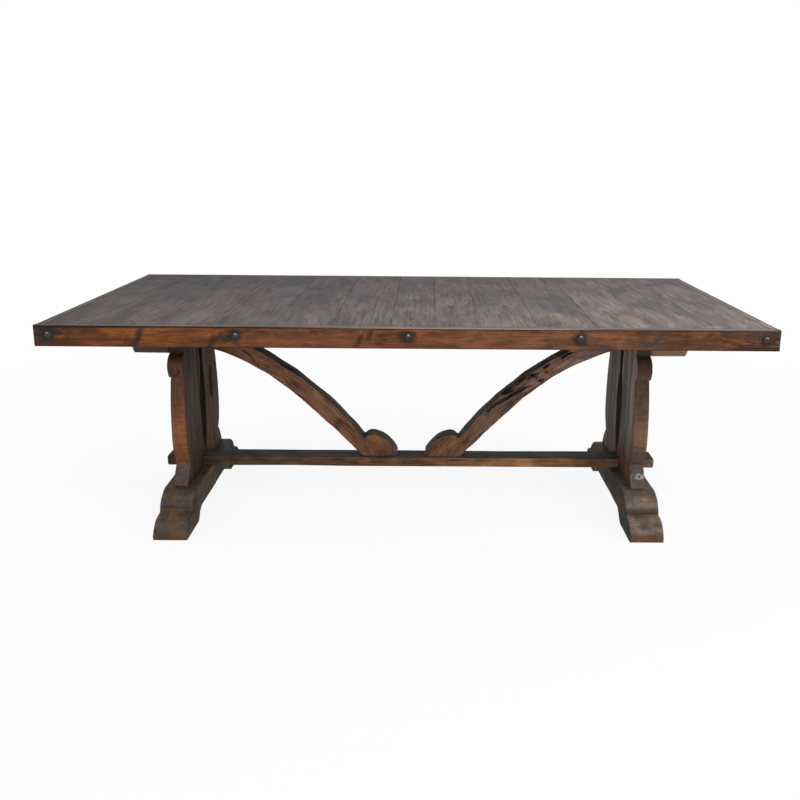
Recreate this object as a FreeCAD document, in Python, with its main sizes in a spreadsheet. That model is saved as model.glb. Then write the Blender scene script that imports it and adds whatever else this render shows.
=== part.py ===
import FreeCAD, Part
import os
import re
import Sketcher

# A trestle dining table in reclaimed timber. Lengths are in millimetres.
# X runs along the table, the front faces -Y, and Z is up from the floor.
# The origin is on the floor, below the middle of the top.

SIZES = {
    # Whole table
    "table_length": 2286,
    "table_width": 1067,
    "table_height": 776,
    # Boards around the top
    "edge_depth": 66,
    "edge_thickness": 28,
    "edge_ease": 2.5,
    # Planks of the top, left to right; the row is stretched to fill the frame
    "plank_thickness": 25,
    "plank_width_01": 165,
    "plank_width_02": 169,
    "plank_width_03": 169,
    "plank_width_04": 195,
    "plank_width_05": 179,
    "plank_width_06": 181,
    "plank_width_07": 139,
    "plank_width_08": 141,
    "plank_width_09": 177,
    "plank_width_10": 186,
    "plank_width_11": 168,
    "plank_width_12": 192,
    "plank_width_13": 169,
    "plank_gap": 0.3,
    "plank_ease": 0.7,
    # Timber under the planks
    "ledger_width": 60,
    "ledger_depth": 30,
    "rail_width": 45,
    "rail_depth": 40,
    "rail_spread": 345,
    # Iron studs on the edge boards
    "stud_radius": 12.5,
    "stud_rim": 1.2,
    "stud_shoulder_radius": 10.6,
    "stud_shoulder_height": 4.8,
    "stud_crown_radius": 5.4,
    "stud_height": 8,
    "stud_drop": 30,
    "stud_shank": 6,
    "stud_shank_length": 24,
    "stud_corner_inset": 45,
    "stud_half_pitch": 527.5,
    "stud_side_inset": 45.5,
    # Nails at the ends of the planks
    "nail_width": 5,
    "nail_length": 48,
    "nail_sink": 0.6,
    "nail_inset": 58,
    # Trestles
    "trestle_inset": 329,
    "post_thickness": 54,
    "post_ease": 2,
    # Outer edge of a post, measured up from the foot
    "heel_reach": 247,
    "heel_mid_reach": 230,
    "heel_mid_rise": 35,
    "heel_top_reach": 207,
    "heel_top_rise": 67,
    "neck_reach": 200,
    "neck_rise": 72,
    "calf_low_reach": 223,
    "calf_low_rise": 119,
    "calf_reach": 233,
    "calf_rise": 184,
    "thigh_reach": 227,
    # Scrolled head of a post, measured down from its top
    "scroll_root_reach": 204,
    "scroll_root_drop": 187,
    "scroll_lip_reach": 218,
    "scroll_lip_drop": 185,
    "scroll_chin_reach": 229,
    "scroll_chin_drop": 173,
    "scroll_brow_reach": 237,
    "scroll_brow_drop": 145,
    "scroll_top_reach": 205,
    "scroll_top_drop": 103,
    "head_reach": 200,
    "head_drop": 99,
    # Lens-shaped opening between the two posts of a trestle
    "eye_gap": 6,
    "eye_rise": 10,
    "eye_width": 72,
    "eye_middle_rise": 189,
    "eye_top_width": 36,
    "eye_top_drop": 206,
    "head_gap": 48,
    # Joint between a post and its foot
    "tenon_thickness": 30,
    "tenon_width": 90,
    "tenon_depth": 50,
    "tenon_inset": 70,
    "joint_clearance": 0.5,
    # Feet
    "foot_length": 796,
    "foot_width": 117,
    "foot_height": 131,
    "foot_ease": 3,
    "sole_length": 150,
    "arch_height": 42,
    "arch_run": 48,
    "toe_rise": 4,
    "toe_lobe_run": 48,
    "toe_lobe_height": 66,
    "toe_bulge_run": 14,
    "toe_bulge_height": 42,
    "shelf_run": 32,
    "shelf_rise": 4,
    "instep_run": 78,
    # Stretcher
    "stretcher_overhang": 110,
    "stretcher_width": 78,
    "stretcher_thickness": 37,
    "stretcher_round": 4,
    "stretcher_ease": 2,
    # Braces: the scrolled lower end, measured from the stretcher
    "brace_thickness": 62,
    "brace_ease": 2,
    "tip_start": 53,
    "tip_round": 9,
    "tip_height": 10,
    "bulb_side": 84,
    "bulb_side_height": 59,
    "bulb_crown": 144,
    "bulb_height": 88,
    "bulb_back": 165,
    "bulb_back_height": 84,
    "notch": 178,
    "notch_height": 71,
    "heel_start": 172,
    "heel_round": 188,
    "heel_round_height": 5,
    "shin_start": 200,
    "shin_start_height": 16,
    # Braces: the curved arm, by shares of its run from the notch to the head rail
    "shin_middle_share": 0.216,
    "shin_middle_height": 120,
    "shin_end_share": 0.402,
    "shin_end_height": 221,
    "back_middle_share": 0.257,
    "back_middle_height": 232,
    "back_end_share": 0.454,
    "back_end_height": 326,
    "arch_middle_share": 0.677,
    "arch_middle_drop": 206,
    "arch_end_drop": 125,
    "crest_middle_share": 0.73,
    "crest_middle_drop": 117,
    "crest_end_drop": 28,
    # Head rails, across the inner faces of the posts
    "head_rail_thickness": 45,
    "head_rail_depth": 105,
    "head_rail_end_depth": 70,
    "head_rail_flat": 180,
    # Bearer arms, outside the post heads
    "arm_length": 132,
    "arm_width": 45,
    "arm_depth": 105,
    "arm_bevel_run": 8,
    "arm_bevel_height": 22,
    # Screws up through the stretcher, and up through the arms
    "screw_radius": 4,
    "screw_head_radius": 7.5,
    "screw_head_depth": 5.5,
    "recess_radius": 11,
    "screw_recess": 8,
    "brace_screw_length": 80,
    "brace_screw_near": 92,
    "brace_screw_far": 150,
    "arm_recess": 58,
    "arm_screw_length": 75,
    "arm_screw_pitch": 66,
    # Bolts through the trestle heads
    "bolt_radius": 5,
    "bolt_head_radius": 9.5,
    "bolt_head_height": 6.5,
    "bolt_nut_depth": 8,
    "head_bolt_reach": 110,
    "head_bolt_drop": 40,
    "brace_bolt_drop": 75,
    "brace_bolt_length": 100,
    # Plugs over the screws in one heel
    "plug_radius": 5,
    "plug_depth": 25,
    "plug_pitch": 20,
    "plug_reach": 222.5,
    "plug_rise": 40,
    "plug_tilt": 31.5,
}

PLANKS = ["%02d" % number for number in range(1, 14)]

# Levels and places that follow from the sizes
HEAD = "(table_height - plank_thickness - rail_depth)"
PLANK_BED = "(table_height - plank_thickness)"
STRETCHER_TOP = "(foot_height + stretcher_thickness)"
HALF_LENGTH = "(table_length / 2)"
HALF_WIDTH = "(table_width / 2)"
FRAME_LENGTH = "(table_length - 2 * edge_thickness)"
FRAME_WIDTH = "(table_width - 2 * edge_thickness)"
PLANK_SUM = "(" + " + ".join("plank_width_" + number for number in PLANKS) + ")"
TRESTLE = "(table_length / 2 - trestle_inset)"
POST_INNER = "(table_length / 2 - trestle_inset - post_thickness / 2)"
POST_OUTER = "(table_length / 2 - trestle_inset + post_thickness / 2)"
RAIL_FACE = "(table_length / 2 - trestle_inset - post_thickness / 2 - head_rail_thickness)"
STRETCHER_END = "(table_length / 2 - trestle_inset + stretcher_overhang)"

# Sides of what is forged, whittled or stands in for a thread
HEAD_SIDES = 6
SHANK_SIDES = 8
ROUND_SIDES = 12

# Two lengths closer than this are taken as equal
NEAR = 0.01

SIDES = {"left": "-1", "right": "1"}
ROWS = {"front": "-1", "rear": "1"}

DOC = FreeCAD.newDocument("trestle_table")
NODES = []


# Sheet and expressions

def make_sheet():
    sheet = DOC.addObject("Spreadsheet::Sheet", "Sizes")
    for row, (name, size) in enumerate(SIZES.items(), start=1):
        sheet.set("A%d" % row, name)
        sheet.set("B%d" % row, str(size))
        sheet.setAlias("B%d" % row, name)
    DOC.recompute()
    return sheet


def cells(formula):
    """Turn the size names in a formula into cells of the sheet."""
    return re.sub(r"[a-z]\w*", lambda word: "Sizes." + word[0] if word[0] in SIZES else word[0],
                  formula)


def measure(formula):
    """Work out a formula of size names as a number."""
    return float(SHEET.evalExpression(cells(formula)))


def bind(item, **formulas):
    for name, formula in formulas.items():
        item.setExpression(name, cells(formula))


def place(item, x="0", y="0", z="0"):
    for axis, formula in zip("xyz", (x, y, z)):
        item.setExpression(".Placement.Base." + axis, cells(formula))


def node(item, label):
    item.Label = label
    NODES.append(item)
    return item


# Sketches and bodies

def new_body(name):
    return DOC.addObject("PartDesign::Body", name + "_body")


def new_sketch(body, role, name, level=None):
    sketch = body.newObject("Sketcher::SketchObject", name)
    plane = next(item for item in body.Origin.OriginFeatures if item.Role == role)
    sketch.AttachmentSupport = [(plane, "")]
    sketch.MapMode = "FlatFace"
    if level is not None:
        sketch.setExpression(".AttachmentOffset.Base.z", cells(level))
    return sketch


def locate(sketch, geometry, point, x, y):
    """Hold a sketch point at two formulas measured from the sketch's origin."""
    for kind, formula in (("DistanceX", x), ("DistanceY", y)):
        rule = Sketcher.Constraint(kind, -1, 1, geometry, point, measure(formula))
        number = sketch.addConstraint(rule)
        sketch.setExpression("Constraints[%d]" % number, cells(formula))


def draw(sketch, corners):
    """Draw a closed outline. A corner is (x, y), or (x, y, via_x, via_y) where
    the edge that leaves it is an arc through the via point."""
    spots = [FreeCAD.Vector(measure(corner[0]), measure(corner[1]), 0) for corner in corners]
    ends = []
    for index, corner in enumerate(corners):
        start = spots[index]
        finish = spots[(index + 1) % len(spots)]
        if len(corner) == 2:
            edge = sketch.addGeometry(Part.LineSegment(start, finish))
        else:
            via = FreeCAD.Vector(measure(corner[2]), measure(corner[3]), 0)
            edge = sketch.addGeometry(Part.Arc(start, via, finish))
            dot = sketch.addGeometry(Part.Point(via), True)
            sketch.addConstraint(Sketcher.Constraint("PointOnObject", dot, 1, edge))
            locate(sketch, dot, 1, corner[2], corner[3])
        forward = (sketch.getPoint(edge, 1) - start).Length < (sketch.getPoint(edge, 2) - start).Length
        ends.append((edge, 1, 2) if forward else (edge, 2, 1))
    for index, (edge, first, _) in enumerate(ends):
        before, _, last = ends[index - 1]
        sketch.addConstraint(Sketcher.Constraint("Coincident", before, last, edge, first))
        locate(sketch, edge, first, corners[index][0], corners[index][1])


def rectangle(x_low, x_high, y_low, y_high):
    return [(x_low, y_low), (x_high, y_low), (x_high, y_high), (x_low, y_high)]


def flipped(corners, sign):
    """Mirror an outline in its upright axis where the sign is -1."""
    turned = []
    for corner in corners:
        turned.append(tuple(formula if index % 2 else "%s * (%s)" % (sign, formula)
                            for index, formula in enumerate(corner)))
    return turned


def mirrored(half):
    """Close a half outline with its mirror image in the upright axis."""
    other = []
    for index in range(len(half) - 1, -1, -1):
        via = half[index - 1][2:] if index else ()
        other.append(half[index][:2] + via)
    return half + flipped(other, "-1")


def pad(body, sketch, length):
    """Extrude a sketch by a length, half of it on each side."""
    feature = body.newObject("PartDesign::Pad", sketch.Name + "_pad")
    feature.Profile = sketch
    feature.Midplane = True
    bind(feature, Length=length)
    DOC.recompute()
    return feature


def pocket(body, sketch, depth, upward=False):
    """Cut a sketch into the body, and make sure that it removes wood."""
    before = body.Shape.Volume
    feature = body.newObject("PartDesign::Pocket", sketch.Name + "_pocket")
    feature.Profile = sketch
    feature.Reversed = upward
    bind(feature, Length=depth)
    DOC.recompute()
    if body.Shape.Volume >= before:
        raise ValueError(sketch.Name + " cuts nothing")
    return feature


def on_sides(edge, axis, thickness):
    """Whether an edge outlines one of the two flat sides of a sawn board."""
    low = getattr(edge.BoundBox, axis + "Min")
    high = getattr(edge.BoundBox, axis + "Max")
    return high - low < NEAR and abs(abs(high) - measure(thickness) / 2) < NEAR


def ease(body, size, chosen):
    """Chamfer the edges of a body's last feature that pass a test."""
    base = body.Tip
    names = ["Edge%d" % number for number, edge in enumerate(base.Shape.Edges, start=1)
             if chosen(edge)]
    feature = body.newObject("PartDesign::Chamfer", base.Name + "_eased")
    feature.Base = (base, names)
    bind(feature, Size=size)
    DOC.recompute()
    return feature


def box(name, length, width, height, x, y, z):
    """A plain board centred on x and y, with its underside at z."""
    item = DOC.addObject("Part::Box", name)
    bind(item, Length=length, Width=width, Height=height)
    place(item, "%s - (%s) / 2" % (x, length), "%s - (%s) / 2" % (y, width), z)
    return item


def prism(name, sides, radius, length, x, y, z, turn=None):
    """A many-sided bar that starts at a point and runs up, or where the turn sends it."""
    item = DOC.addObject("Part::Prism", name)
    item.Polygon = sides
    bind(item, Circumradius=radius, Height=length)
    if turn:
        item.Placement = FreeCAD.Placement(FreeCAD.Vector(), turn)
    place(item, x, y, z)
    return item


def joined(name, first, second):
    item = DOC.addObject("Part::Fuse", name)
    item.Base = first
    item.Tool = second
    return item


def group(label, pieces):
    item = DOC.addObject("Part::Compound", label)
    item.Links = pieces
    return node(item, label)


def carve(label, blank, tool):
    """Cut the fasteners or the joint of one piece out of another."""
    item = DOC.addObject("Part::Cut", label + "_cut")
    item.Base = blank
    item.Tool = tool
    return node(item, label)


def turned(axis, angle):
    return FreeCAD.Rotation(FreeCAD.Vector(*axis), angle)


FACING_FRONT = turned((1, 0, 0), 90)
FACING_BACK = turned((1, 0, 0), -90)
FACING_LEFT = turned((0, 1, 0), -90)
FACING_RIGHT = turned((0, 1, 0), 90)


# Iron studs and nails

def stud_rings():
    """The twelve-sided rings that a hammered stud head is lofted through."""
    rings = []
    for name, radius, height in (("foot", "stud_radius", "0"), ("rim", "stud_radius", "stud_rim"),
                                 ("shoulder", "stud_shoulder_radius", "stud_shoulder_height"),
                                 ("crown", "stud_crown_radius", "stud_height")):
        ring = DOC.addObject("Part::RegularPolygon", "stud_" + name)
        ring.Polygon = ROUND_SIDES
        bind(ring, Circumradius=radius)
        place(ring, z=height)
        rings.append(ring)
    return rings


def stud(name, rings, x, y, turn):
    """A hammered iron stud on a square shank, driven into an edge board."""
    level = "table_height - stud_drop"
    head = DOC.addObject("Part::Loft", name + "_head")
    head.Sections = rings
    head.Solid = True
    head.Ruled = True
    head.Placement = FreeCAD.Placement(FreeCAD.Vector(), turn)
    place(head, x, y, level)
    facing = turn.multVec(FreeCAD.Vector(0, 0, 1))
    along_x = abs(facing.x) > abs(facing.y)
    shank = box(name + "_shank",
                "stud_shank_length" if along_x else "stud_shank",
                "stud_shank" if along_x else "stud_shank_length", "stud_shank",
                "%s - (%.0f) * stud_shank_length / 2" % (x, facing.x),
                "%s - (%.0f) * stud_shank_length / 2" % (y, facing.y),
                level + " - stud_shank / 2")
    return joined(name, head, shank)


def make_studs():
    rings = stud_rings()
    corner = "(%s - stud_corner_inset)" % HALF_LENGTH
    side = "(%s - stud_side_inset)" % HALF_WIDTH
    along = ["-" + corner, "-stud_half_pitch", "0", "stud_half_pitch", corner]
    across = ["-" + side, "0", side]
    rows = {
        "studs_front": [(x, "-" + HALF_WIDTH, FACING_FRONT) for x in along],
        "studs_back": [(x, HALF_WIDTH, FACING_BACK) for x in along],
        "studs_left": [("-" + HALF_LENGTH, y, FACING_LEFT) for y in across],
        "studs_right": [(HALF_LENGTH, y, FACING_RIGHT) for y in across],
    }
    groups = {}
    for label, spots in rows.items():
        studs = [stud("%s_%d" % (label, number), rings, x, y, turn)
                 for number, (x, y, turn) in enumerate(spots, start=1)]
        groups[label] = group(label, studs)
    return groups


def plank_centres():
    """The formula of the middle of each plank, along X."""
    centres = []
    passed = "0"
    for number in PLANKS:
        width = "plank_width_" + number
        centres.append("((%s + %s / 2) / %s - 0.5) * %s" % (passed, width, PLANK_SUM, FRAME_LENGTH))
        passed = "%s + %s" % (passed, width)
    return centres


def make_nails(centres):
    nails = []
    for number, x in zip(PLANKS, centres):
        for row, sign in ROWS.items():
            y = "%s * (%s - nail_inset)" % (sign, HALF_WIDTH)
            nails.append(box("nail_%s_%s" % (row, number), "nail_width", "nail_width", "nail_length",
                             "(%s)" % x, y, "table_height - nail_sink - nail_length"))
    return group("plank_nails", nails)


# The top

def make_planks(centres, nails):
    for number, centre in zip(PLANKS, centres):
        name = "top_plank_" + number
        half = "(plank_width_%s / %s * %s / 2 - plank_gap / 2)" % (number, PLANK_SUM, FRAME_LENGTH)
        body = new_body(name)
        section = new_sketch(body, "XZ_Plane", name + "_section")
        eased = "(%s - plank_ease)" % half
        draw(section, mirrored([
            (eased, "plank_thickness"),
            (half, "plank_thickness - plank_ease"),
            (half, "0"),
        ]))
        pad(body, section, FRAME_WIDTH + " - plank_gap")
        place(body, centre, "0", PLANK_BED)
        carve(name, body, nails)


def make_edge_boards(studs):
    long_y = "(%s - edge_thickness / 2)" % HALF_WIDTH
    short_x = "(%s - edge_thickness / 2)" % HALF_LENGTH
    boards = {
        "edge_board_front": ("table_length", "edge_thickness", "0", "-" + long_y, "studs_front"),
        "edge_board_back": ("table_length", "edge_thickness", "0", long_y, "studs_back"),
        "edge_board_left": ("edge_thickness", FRAME_WIDTH, "-" + short_x, "0", "studs_left"),
        "edge_board_right": ("edge_thickness", FRAME_WIDTH, short_x, "0", "studs_right"),
    }
    for label, (length, width, x, y, fixing) in boards.items():
        body = new_body(label)
        section = new_sketch(body, "XY_Plane", label + "_plan", "edge_depth / 2")
        half_x = "(%s) / 2" % length
        half_y = "(%s) / 2" % width
        draw(section, rectangle("-" + half_x, half_x, "-" + half_y, half_y))
        pad(body, section, "edge_depth")
        ease(body, "edge_ease", lambda edge: edge.Length > measure("edge_thickness") * 1.01)
        place(body, x, y, "table_height - edge_depth")
        carve(label, body, studs[fixing])


def make_ledgers(nails):
    level = PLANK_BED + " - ledger_depth"
    long_y = "(%s / 2 - ledger_width / 2)" % FRAME_WIDTH
    short_x = "(%s / 2 - ledger_width / 2)" % FRAME_LENGTH
    for label, sign in (("ledger_front", "-1"), ("ledger_back", "1")):
        blank = box(label + "_blank", FRAME_LENGTH, "ledger_width", "ledger_depth",
                    "0", "%s * %s" % (sign, long_y), level)
        carve(label, blank, nails)
    for label, sign in (("ledger_left", "-1"), ("ledger_right", "1")):
        item = box(label, "ledger_width", FRAME_WIDTH + " - 2 * ledger_width", "ledger_depth",
                   "%s * %s" % (sign, short_x), "0", level)
        node(item, label)


def make_top_rails(arm_screws):
    length = FRAME_LENGTH + " - 2 * ledger_width"
    for label, sign in (("top_rail_front", "-1"), ("top_rail_centre", "0"), ("top_rail_back", "1")):
        blank = box(label + "_blank", length, "rail_width", "rail_depth",
                    "0", "%s * rail_spread / 2" % sign, HEAD)
        if sign == "0":
            node(blank, label)
        else:
            carve(label, blank, arm_screws)


# The trestles

def post_outline():
    """One post of a lyre trestle: heel, neck, calf, thigh and scrolled head,
    then down the inner edge round the eye and over the stretcher."""
    def low(reach, rise):
        return (reach, "foot_height + " + rise)

    def high(reach, drop):
        return (reach, HEAD + " - " + drop)

    thigh_level = "(foot_height + calf_rise + %s - scroll_root_drop) / 2" % HEAD
    over_stretcher = STRETCHER_TOP + " + joint_clearance"
    beside_stretcher = "stretcher_width / 2 + joint_clearance"
    return [
        ("heel_reach", "foot_height") + low("heel_mid_reach", "heel_mid_rise"),
        low("heel_top_reach", "heel_top_rise"),
        low("neck_reach", "neck_rise") + low("calf_low_reach", "calf_low_rise"),
        low("calf_reach", "calf_rise") + ("thigh_reach", thigh_level),
        high("scroll_root_reach", "scroll_root_drop") + high("scroll_lip_reach", "scroll_lip_drop"),
        high("scroll_chin_reach", "scroll_chin_drop") + high("scroll_brow_reach", "scroll_brow_drop"),
        high("scroll_top_reach", "scroll_top_drop"),
        high("head_reach", "head_drop"),
        ("head_reach", HEAD),
        ("head_gap / 2", HEAD),
        high("eye_top_width / 2", "eye_top_drop") + low("eye_width / 2", "eye_middle_rise"),
        ("eye_gap / 2", STRETCHER_TOP + " + eye_rise"),
        ("eye_gap / 2", over_stretcher),
        (beside_stretcher, over_stretcher),
        (beside_stretcher, "foot_height"),
    ]


def make_post(side, row, tools):
    name = "post_%s_%s" % (side, row)
    sign = ROWS[row]
    body = new_body(name)
    profile = new_sketch(body, "YZ_Plane", name + "_profile")
    draw(profile, flipped(post_outline(), sign))
    pad(body, profile, "post_thickness")
    ease(body, "post_ease", lambda edge: on_sides(edge, "X", "post_thickness")
         and edge.BoundBox.ZMin > measure(STRETCHER_TOP) and edge.BoundBox.ZLength > NEAR
         and edge.Length > measure("post_thickness"))
    tenon = new_sketch(body, "XY_Plane", name + "_tenon", "foot_height - tenon_depth / 2")
    near = "%s * tenon_inset" % sign
    far = "%s * (tenon_inset + tenon_width)" % sign
    draw(tenon, rectangle("-tenon_thickness / 2", "tenon_thickness / 2", near, far))
    pad(body, tenon, "tenon_depth")
    place(body, "%s * %s" % (SIDES[side], TRESTLE))
    blank = body
    for tool in tools[:-1]:
        blank_cut = DOC.addObject("Part::Cut", name + "_bored")
        blank_cut.Base = blank
        blank_cut.Tool = tool
        blank = blank_cut
    carve(name, blank, tools[-1])


def foot_outline():
    """Half of a foot seen from the end of the table: two rounded lobes with a
    shelf between them at each toe, and a low arch between the soles."""
    toe = "(foot_length / 2)"
    shelf_front = "(foot_length / 2 - toe_lobe_run)"
    shelf_back = "(foot_length / 2 - toe_lobe_run - shelf_run)"
    fall = "(foot_height - toe_lobe_height - shelf_rise)"
    radius = "((instep_run ^ 2 + %s ^ 2) / (2 * %s))" % (fall, fall)
    half_turn = "atan(%s / instep_run)" % fall
    return [
        (shelf_back + " - instep_run", "foot_height",
         "%s - instep_run + %s * sin(%s)" % (shelf_back, radius, half_turn),
         "foot_height - %s * (1 - cos(%s))" % (radius, half_turn)),
        (shelf_back, "toe_lobe_height + shelf_rise"),
        (shelf_front, "toe_lobe_height", toe + " - toe_bulge_run", "toe_bulge_height"),
        (toe, "toe_rise"),
        (toe, "0"),
        (toe + " - sole_length", "0"),
        (toe + " - sole_length - arch_run", "arch_height"),
    ]


def make_foot(side):
    name = "foot_" + side
    body = new_body(name)
    profile = new_sketch(body, "YZ_Plane", name + "_profile")
    draw(profile, mirrored(foot_outline()))
    pad(body, profile, "foot_width")
    ease(body, "foot_ease", lambda edge: on_sides(edge, "X", "foot_width")
         and edge.BoundBox.ZMin > measure("toe_lobe_height") - NEAR)
    for row, sign in ROWS.items():
        mortise = new_sketch(body, "XY_Plane", "%s_mortise_%s" % (name, row), "foot_height")
        half = "tenon_thickness / 2 + joint_clearance"
        near = "%s * (tenon_inset - joint_clearance)" % sign
        far = "%s * (tenon_inset + tenon_width + joint_clearance)" % sign
        draw(mortise, rectangle("-(%s)" % half, half, near, far))
        pocket(body, mortise, "tenon_depth + joint_clearance")
    place(body, "%s * %s" % (SIDES[side], TRESTLE))
    node(body, name)


def make_head_rail(side, bolts):
    name = "head_rail_" + side
    body = new_body(name)
    profile = new_sketch(body, "YZ_Plane", name + "_profile")
    draw(profile, mirrored([
        ("head_reach", HEAD),
        ("head_reach", HEAD + " - head_rail_end_depth"),
        ("head_rail_flat / 2", HEAD + " - head_rail_depth"),
    ]))
    pad(body, profile, "head_rail_thickness")
    place(body, "%s * (%s - head_rail_thickness / 2)" % (SIDES[side], POST_INNER))
    carve(name, body, bolts)


def make_arm(side, row, screws):
    name = "bearer_arm_%s_%s" % (side, row)
    body = new_body(name)
    profile = new_sketch(body, "XZ_Plane", name + "_profile")
    tip = "(%s + arm_length)" % POST_OUTER
    under = HEAD + " - arm_depth"
    draw(profile, flipped([
        (POST_OUTER, HEAD),
        (tip, HEAD),
        (tip, under + " + arm_bevel_height"),
        (tip + " - arm_bevel_run", under),
        (POST_OUTER, under),
    ], SIDES[side]))
    pad(body, profile, "arm_width")
    place(body, "0", "%s * rail_spread / 2" % ROWS[row])
    carve(name, body, screws)


# Stretcher and braces

def make_stretcher(screws):
    body = new_body("stretcher")
    plan = new_sketch(body, "XY_Plane", "stretcher_plan", "stretcher_thickness / 2")
    draw(plan, rectangle("-" + STRETCHER_END, STRETCHER_END,
                         "-stretcher_width / 2", "stretcher_width / 2"))
    pad(body, plan, "stretcher_thickness")
    blank = body.Tip
    ends = ["Edge%d" % number for number, edge in enumerate(blank.Shape.Edges, start=1)
            if edge.BoundBox.YLength > measure("stretcher_width") / 2
            and edge.BoundBox.XLength < measure("stretcher_round")]
    rounded = body.newObject("PartDesign::Fillet", "stretcher_ends")
    rounded.Base = (blank, ends)
    bind(rounded, Radius="stretcher_round")
    DOC.recompute()
    ease(body, "stretcher_ease", lambda edge: edge.BoundBox.XLength > measure(STRETCHER_END))
    place(body, "0", "0", "foot_height")
    carve("stretcher", body, screws)


def brace_outline():
    """One brace: a scroll that stands on the stretcher, and an arm that curves
    up and outward to the head rail."""
    def low(x, height):
        return (x, STRETCHER_TOP + " + " + height)

    def high(x, drop):
        return (x, HEAD + " - " + drop)

    def along(share):
        return "notch + %s * (%s - notch)" % (share, RAIL_FACE)

    return [
        ("tip_start + tip_round", STRETCHER_TOP),
        ("heel_start", STRETCHER_TOP) + low("heel_round", "heel_round_height"),
        low("shin_start", "shin_start_height") + low(along("shin_middle_share"), "shin_middle_height"),
        low(along("shin_end_share"), "shin_end_height")
        + high(along("arch_middle_share"), "arch_middle_drop"),
        high(RAIL_FACE, "arch_end_drop"),
        high(RAIL_FACE, "crest_end_drop") + high(along("crest_middle_share"), "crest_middle_drop"),
        low(along("back_end_share"), "back_end_height")
        + low(along("back_middle_share"), "back_middle_height"),
        low("notch", "notch_height") + low("bulb_back", "bulb_back_height"),
        low("bulb_crown", "bulb_height") + low("bulb_side", "bulb_side_height"),
        low("tip_start", "tip_height"),
    ]


def make_brace(side, screws, bolts):
    name = "brace_" + side
    body = new_body(name)
    profile = new_sketch(body, "XZ_Plane", name + "_profile")
    draw(profile, flipped(brace_outline(), SIDES[side]))
    pad(body, profile, "brace_thickness")
    ease(body, "brace_ease", lambda edge: on_sides(edge, "Y", "brace_thickness")
         and edge.BoundBox.XLength > NEAR and edge.Length > measure("bulb_back"))
    drilled = DOC.addObject("Part::Cut", name + "_drilled")
    drilled.Base = body
    drilled.Tool = screws
    carve(name, drilled, bolts)


# Screws, bolts and plugs

def screw(name, x, y, head_level, length):
    """A coach screw driven upward: a six-sided head and a plain shank."""
    head = prism(name + "_head", HEAD_SIDES, "screw_head_radius", "screw_head_depth", x, y,
                 head_level + " - screw_head_depth")
    shank = prism(name + "_shank", SHANK_SIDES, "screw_radius", length, x, y, head_level)
    return joined(name, head, shank)


def screw_recess(name, x, y, floor, depth):
    return prism(name, ROUND_SIDES, "recess_radius", depth, x, y, floor)


def make_brace_screws():
    screws = []
    recesses = []
    for side, sign in SIDES.items():
        for spot in ("near", "far"):
            x = "%s * brace_screw_%s" % (sign, spot)
            name = "brace_screw_%s_%s" % (side, spot)
            screws.append(screw(name, x, "0", "foot_height + screw_recess", "brace_screw_length"))
            recesses.append(screw_recess(name + "_recess", x, "0", "foot_height", "screw_recess"))
    return group("brace_screws", screws), recesses


def make_arm_screws():
    screws = []
    recesses = []
    floor = HEAD + " - arm_depth"
    for side, sign in SIDES.items():
        for row, row_sign in ROWS.items():
            for spot, shift in (("inner", "-1"), ("outer", "1")):
                middle = "(%s + arm_length / 2 + %s * arm_screw_pitch / 2)" % (POST_OUTER, shift)
                x = "%s * %s" % (sign, middle)
                y = "%s * rail_spread / 2" % row_sign
                name = "arm_screw_%s_%s_%s" % (side, row, spot)
                screws.append(screw(name, x, y, floor + " + arm_recess", "arm_screw_length"))
                recesses.append(screw_recess(name + "_recess", x, y, floor, "arm_recess"))
    return group("arm_screws", screws), recesses


def bolt(name, x, y, z, length, sign, nut):
    """A six-sided bolt that runs toward the middle of the table."""
    outward = FACING_RIGHT if sign == "1" else FACING_LEFT
    inward = FACING_LEFT if sign == "1" else FACING_RIGHT
    head = prism(name + "_head", HEAD_SIDES, "bolt_head_radius", "bolt_head_height", x, y, z, outward)
    shank = prism(name + "_shank", SHANK_SIDES, "bolt_radius", length, x, y, z, inward)
    whole = joined(name, head, shank)
    if nut:
        end = "%s - %s * (%s)" % (x, sign, length)
        block = prism(name + "_nut", HEAD_SIDES, "bolt_head_radius", "bolt_nut_depth", end, y, z, outward)
        whole = joined(name + "_nutted", whole, block)
    return whole


def make_head_bolts():
    length = "post_thickness + head_rail_thickness + bolt_nut_depth"
    bolts = []
    for side, sign in SIDES.items():
        for row, row_sign in ROWS.items():
            bolts.append(bolt("head_bolt_%s_%s" % (side, row), "%s * %s" % (sign, POST_OUTER),
                              "%s * head_bolt_reach" % row_sign, "(%s - head_bolt_drop)" % HEAD,
                              length, sign, True))
    return group("head_bolts", bolts)


def make_brace_bolts():
    bolts = []
    for side, sign in SIDES.items():
        bolts.append(bolt("brace_bolt_" + side, "%s * %s" % (sign, POST_INNER), "0",
                          "(%s - brace_bolt_drop)" % HEAD, "brace_bolt_length", sign, False))
    return group("brace_bolts", bolts)


def make_plugs():
    """Two whittled plugs in the heel of the right front post, square to its face."""
    inward = turned((1, 0, 0), -90 - measure("plug_tilt"))
    plugs = []
    for name, shift in (("inner", "-1"), ("outer", "1")):
        x = "%s + %s * plug_pitch / 2" % (TRESTLE, shift)
        plugs.append(prism("heel_plug_" + name, ROUND_SIDES, "plug_radius", "plug_depth", x,
                           "-plug_reach", "foot_height + plug_rise", inward))
    return group("heel_plugs", plugs)


def tool_set(name, pieces):
    item = DOC.addObject("Part::Compound", name)
    item.Links = pieces
    return item


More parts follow.
